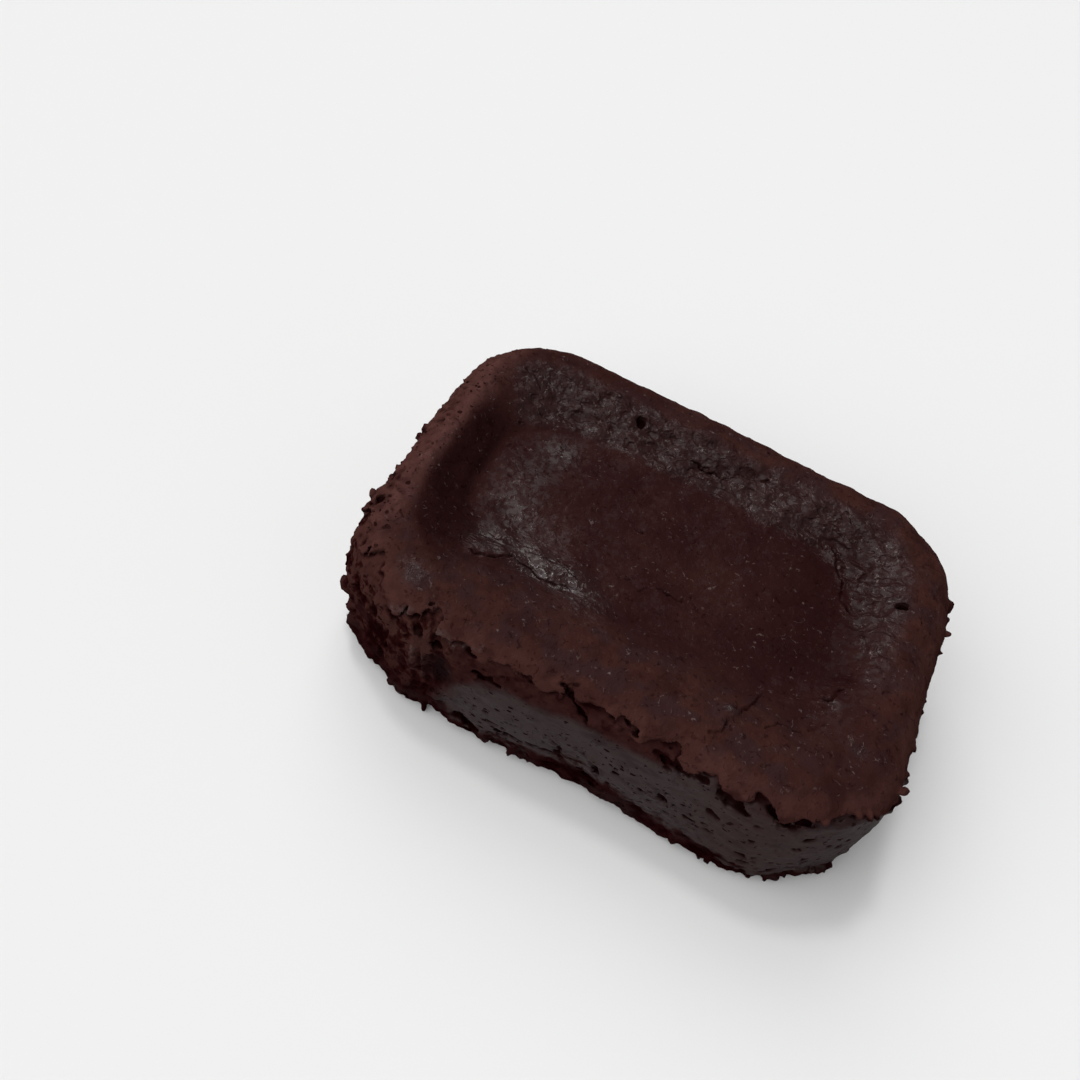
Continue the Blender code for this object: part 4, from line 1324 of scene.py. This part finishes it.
def skin_colour(g, place, mottle, painted_glints):
    """The top: warm patches, browned rim, painted mauve sheen, painted shade, painted shade of nicks,
    painted glints.
    """
    colour = g.mix(g.patches(place, 9.0, 0.42, 0.62), SKIN, SKIN_WARM)
    rim = g.mix(g.patches(place, 4.0, 0.42, 0.6, detail=3.0, most=0.9), RIM, RIM_MAUVE)
    colour = g.mix(g.larger(g.mask("rim"), g.mask("front")), colour, rim)
    colour = g.mix(g.mask("left"), colour, RIM_LEFT)
    colour = g.mix(g.times(g.rest(g.mask("flat")), 0.7), colour, OUTER)
    # Painted mauve sheen on the inner walls and where the top shines
    colour = g.mix(g.times(g.larger(g.mask("wall"), g.mask("sheen")), 0.45), colour, PAINTED_SHEEN)
    # Painted shade on the left inner wall and on the right of the sunken floor
    colour = g.mix(g.times(g.mask("shaded"), 0.85), colour, SKIN_DARK)
    colour = g.mix(g.times(g.ramp(mottle, 0.35, 0.65), 0.3), colour, SKIN)
    colour = g.mix(g.patches(place, 4.5, 0.52, 0.66, detail=3.0, most=0.35), colour, SKIN_DARK)
    nicks = g.times(g.lines(place, 2.2, 0.035), g.patches(place, 1.0, 0.54, 0.64, detail=1.0))
    # Painted shade of fine nicks
    colour = g.mix(g.times(nicks, 0.55), colour, PIT_SHADE)
    # Painted glints: pale strokes that stand in for tiny highlights
    return g.mix(g.times(painted_glints, 0.38), colour, PAINTED_GLINT)


def side_colour(g, place, level, mottle):
    """The strip under the lip, and the satin band below it, greyed partly as painted sheen."""
    strip = g.mix(g.ramp(mottle, 0.4, 0.62), STRIP_DARK, STRIP)
    strip = g.mix(g.patches(place, 1.3, 0.56, 0.66, detail=3.0, most=0.7), strip, FOOT)
    # Greyish satin colour: partly the band's own duller tone, partly painted grey sheen
    satin = g.mix(g.patches(level, 1.6, 0.5, 0.66), SATIN, SATIN_DARK)
    # Painted shade of fine chinks in the satin band
    chinks = g.times(g.lines(level, 1.5, 0.03), g.patches(level, 1.9, 0.5, 0.6))
    return g.mix(g.mask("band"), strip, g.mix(g.times(chinks, 0.6), satin, PIT_SHADE))


def crumb_colour(g, place, level):
    """The torn crumb: painted shade between its grains, darker low down partly as painted shade, with satin
    bloom low down and flakes high up, lighter on raised grains partly as painted light.
    """
    high = g.mask("high")
    grains = g.times(g.math("SUBTRACT", g.noise(place, 0.7, 3.0), 0.5), 0.7)
    relief = g.plus(g.mask("relief"), grains)
    # Painted shade between the grains; darker low down, partly the crumb's own colour and partly painted
    # shade
    crumb = g.mix(g.ramp(relief, 0.28, 0.48), PIT_SHADE, g.mix(high, FOOT, CRUMB))
    bloom = g.times(g.patches(level, 2.2, 0.48, 0.62), g.rest(high))
    crumb = g.mix(g.times(bloom, 0.4), crumb, SATIN)
    # Flakes on the raised grains: crust-coloured, and lighter as painted light
    flaky = g.times(g.ramp(relief, 0.5, 0.68), g.plus(0.12, g.times(high, 0.88)))
    return g.mix(flaky, crumb, FLAKE)


def crust_colour(g, place, mottle, painted_glints, pores):
    """Base colour: skin of the top, side, torn crumb, pale ribs with painted highlights, and painted shade
    in the hollow, pin holes, holes and cracks.
    """
    level = g.millimetres((0.4, 0.4, 1.0))
    skin, side = skin_colour(g, place, mottle, painted_glints), side_colour(g, place, level, mottle)
    colour = g.mix(g.mask("side"), skin, side)
    colour = g.mix(g.mask("torn"), colour, crumb_colour(g, place, level))
    # Pale ribs, and painted highlights on the lip's edge, by the hollow and at the back hole
    pale = g.times(g.mask("pale"), g.patches(place, 0.6, 0.38, 0.58, least=0.25, most=0.9))
    colour = g.mix(pale, colour, PALE)
    # Painted shade in the hollow
    colour = g.mix(g.mask("hollow"), colour, HOLLOW_SHADE)
    # Painted shade in the pin holes, then in the holes and cracks
    colour = g.mix(g.times(pores, 0.8), colour, PIT_SHADE)
    return g.mix(g.times(g.mask("pit"), 0.92), colour, PIT_SHADE)


def crust_shine(g, place, painted_glints, pores):
    """Clear coat where the skin shines, and a soft even one on the satin band."""
    gloss = g.plus(g.times(g.mask("wall"), WALL_COAT), g.times(g.mask("sheen"), SHEEN_COAT))
    gloss = g.plus(gloss, g.ramp(g.mask("rim"), 0.0, 0.5, SKIN_COAT, 0.0))
    patches = g.patches(place, 1.1, 0.44, 0.6)
    shine = g.times(gloss, g.mask("flat"), g.plus(0.3, g.times(patches, 0.7)))
    shine = g.plus(shine, g.times(painted_glints, PAINTED_GLINT_COAT))
    shine = g.plus(shine, g.times(g.mask("band"), BAND_COAT), clamp=True)
    for hole in (g.mask("pit"), pores):
        shine = g.times(shine, g.ramp(hole, 0.0, 0.6, 1.0, HOLE_COAT))
    return shine


def crust_normal(g, place, painted_glints, pores):
    """Fine relief: folds of the skin, deeper where it shines, grains of the crumb, pores."""
    normal = g.bump(g.times(g.noise(place, 0.9, 3.0), g.rest(g.mask("side"))), SKIN_RELIEF)
    skin = g.warped(g.millimetres((0.7, 1.0, 1.0)), 1.8, 0.8)
    folded = g.plus(g.times(g.lines(skin, 2.4, 0.1), 0.5), g.noise(skin, 1.2))
    crinkled = g.larger(g.mask("wall"), g.times(g.mask("sheen"), 0.6))
    crinkled = g.times(g.plus(0.05, crinkled, clamp=True), g.mask("flat"))
    normal = g.bump(g.times(folded, crinkled), FOLD_RELIEF, normal)
    grained = g.larger(g.mask("torn"), g.times(g.mask("rim"), 0.4))
    normal = g.bump(g.times(g.noise(place, 0.4), grained), GRAIN_RELIEF, normal)
    return g.bump(g.math("SUBTRACT", g.times(painted_glints, 0.4), pores), PORE_RELIEF, normal)


def painted_glint_strokes(g, place):
    """Painted glints: short pale strokes of the top, in loose groups, and more of them where it shines."""
    strokes = g.times(g.lines(g.warped(place, 0.9, 0.5), 1.3, 0.04, 1.0), g.mask("flat"))
    shiny = g.times(g.larger(g.mask("wall"), g.mask("sheen")), 0.06)
    pieces = g.ramp(g.plus(g.noise(place, 0.8, 1.0), shiny), 0.57, 0.67)
    groups = g.patches(place, 4.0, 0.44, 0.62, detail=1.0, least=0.15)
    return g.times(strokes, pieces, groups)


def skin_pores(g):
    """Pin holes of the rim, the satin band and the torn crumb."""
    level = g.warped(g.millimetres((0.7, 0.7, 1.3)), 0.8, 0.5)
    pored = g.times(g.mask("rim"), g.plus(0.3, g.mask("left")))
    pored = g.plus(pored, g.larger(g.mask("band"), g.mask("torn")), clamp=True)
    return g.times(g.larger(g.pores(level, 1.1, 0.3), g.pores(level, 0.6, 0.27)), pored)


def crust_material(name, coat_roughness):
    g = Graph(name)
    place = g.millimetres()
    mottle = g.noise(place, 1.7, 3.0)
    painted_glints, pores = painted_glint_strokes(g, place), skin_pores(g)
    normal = crust_normal(g, place, painted_glints, pores)
    inputs = {
        "Base Color": crust_colour(g, place, mottle, painted_glints, pores),
        "Roughness": g.ramp(mottle, 0.3, 0.7, SMOOTHEST, ROUGHEST),
        "Specular IOR Level": 0.0,
        "Coat Weight": crust_shine(g, place, painted_glints, pores),
        "Coat Roughness": coat_roughness,
        "Normal": normal,
        "Coat Normal": normal,
    }
    for socket, value in inputs.items():
        g.put(g.shader.inputs[socket], value)
    return g.material


def floor_material():
    g = Graph("floor")
    for socket, value in (("Base Color", STAGE), ("Roughness", 0.9), ("Specular IOR Level", 0.1)):
        g.put(g.shader.inputs[socket], value)
    return g.material


FLOOR_HALF = 2.0


def floor():
    mesh = bpy.data.meshes.new("floor")
    corners = [(x * FLOOR_HALF, y * FLOOR_HALF, 0.0) for x, y in ((-1, -1), (1, -1), (1, 1), (-1, 1))]
    mesh.from_pydata(corners, [], [(0, 1, 2, 3)])
    item = bpy.data.objects.new("floor", mesh)
    bpy.context.scene.collection.objects.link(item)
    mesh.materials.append(floor_material())


# Lights: name, direction towards it, strength, angle across in degrees
SUNS = (
    ("sheen", (-0.40, 0.60, 0.70), 0.9, 45.0),
    ("glint", (-0.30, 0.20, 0.93), 0.5, 9.0),
    ("fill", (-0.50, -0.50, 0.72), 2.1, 80.0),
)
WORLD_LEVEL = 0.2


def lights():
    for name, towards, strength, angle in SUNS:
        data = bpy.data.lights.new(name, "SUN")
        data.energy = strength
        data.angle = math.radians(angle)
        item = bpy.data.objects.new(name, data)
        item.rotation_euler = Vector(towards).to_track_quat("Z", "Y").to_euler()
        bpy.context.scene.collection.objects.link(item)
    world = bpy.data.worlds.new("studio")
    world.use_nodes = True
    background = world.node_tree.nodes["Background"]
    background.inputs["Color"].default_value = (1.0, 1.0, 1.0, 1.0)
    background.inputs["Strength"].default_value = WORLD_LEVEL
    bpy.context.scene.world = world
    bpy.context.scene.view_settings.view_transform = "Standard"


def camera(shift):
    data = bpy.data.cameras.new("camera")
    data.sensor_width = SENSOR_WIDTH
    data.lens = LENS
    data.clip_start = 0.01
    item = bpy.data.objects.new("camera", data)
    turn = Matrix((Vector(CAMERA_RIGHT), -Vector(CAMERA_DOWN), -Vector(CAMERA_FORWARD))).transposed()
    at = (Vector(CAMERA_AT) + Vector(shift)) * 0.001
    item.matrix_world = Matrix.Translation(at) @ turn.to_4x4()
    bpy.context.scene.collection.objects.link(item)
    bpy.context.scene.camera = item


brownie, moved = cake()
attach(brownie, "root")
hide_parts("brownie")
floor()
lights()
camera(moved)
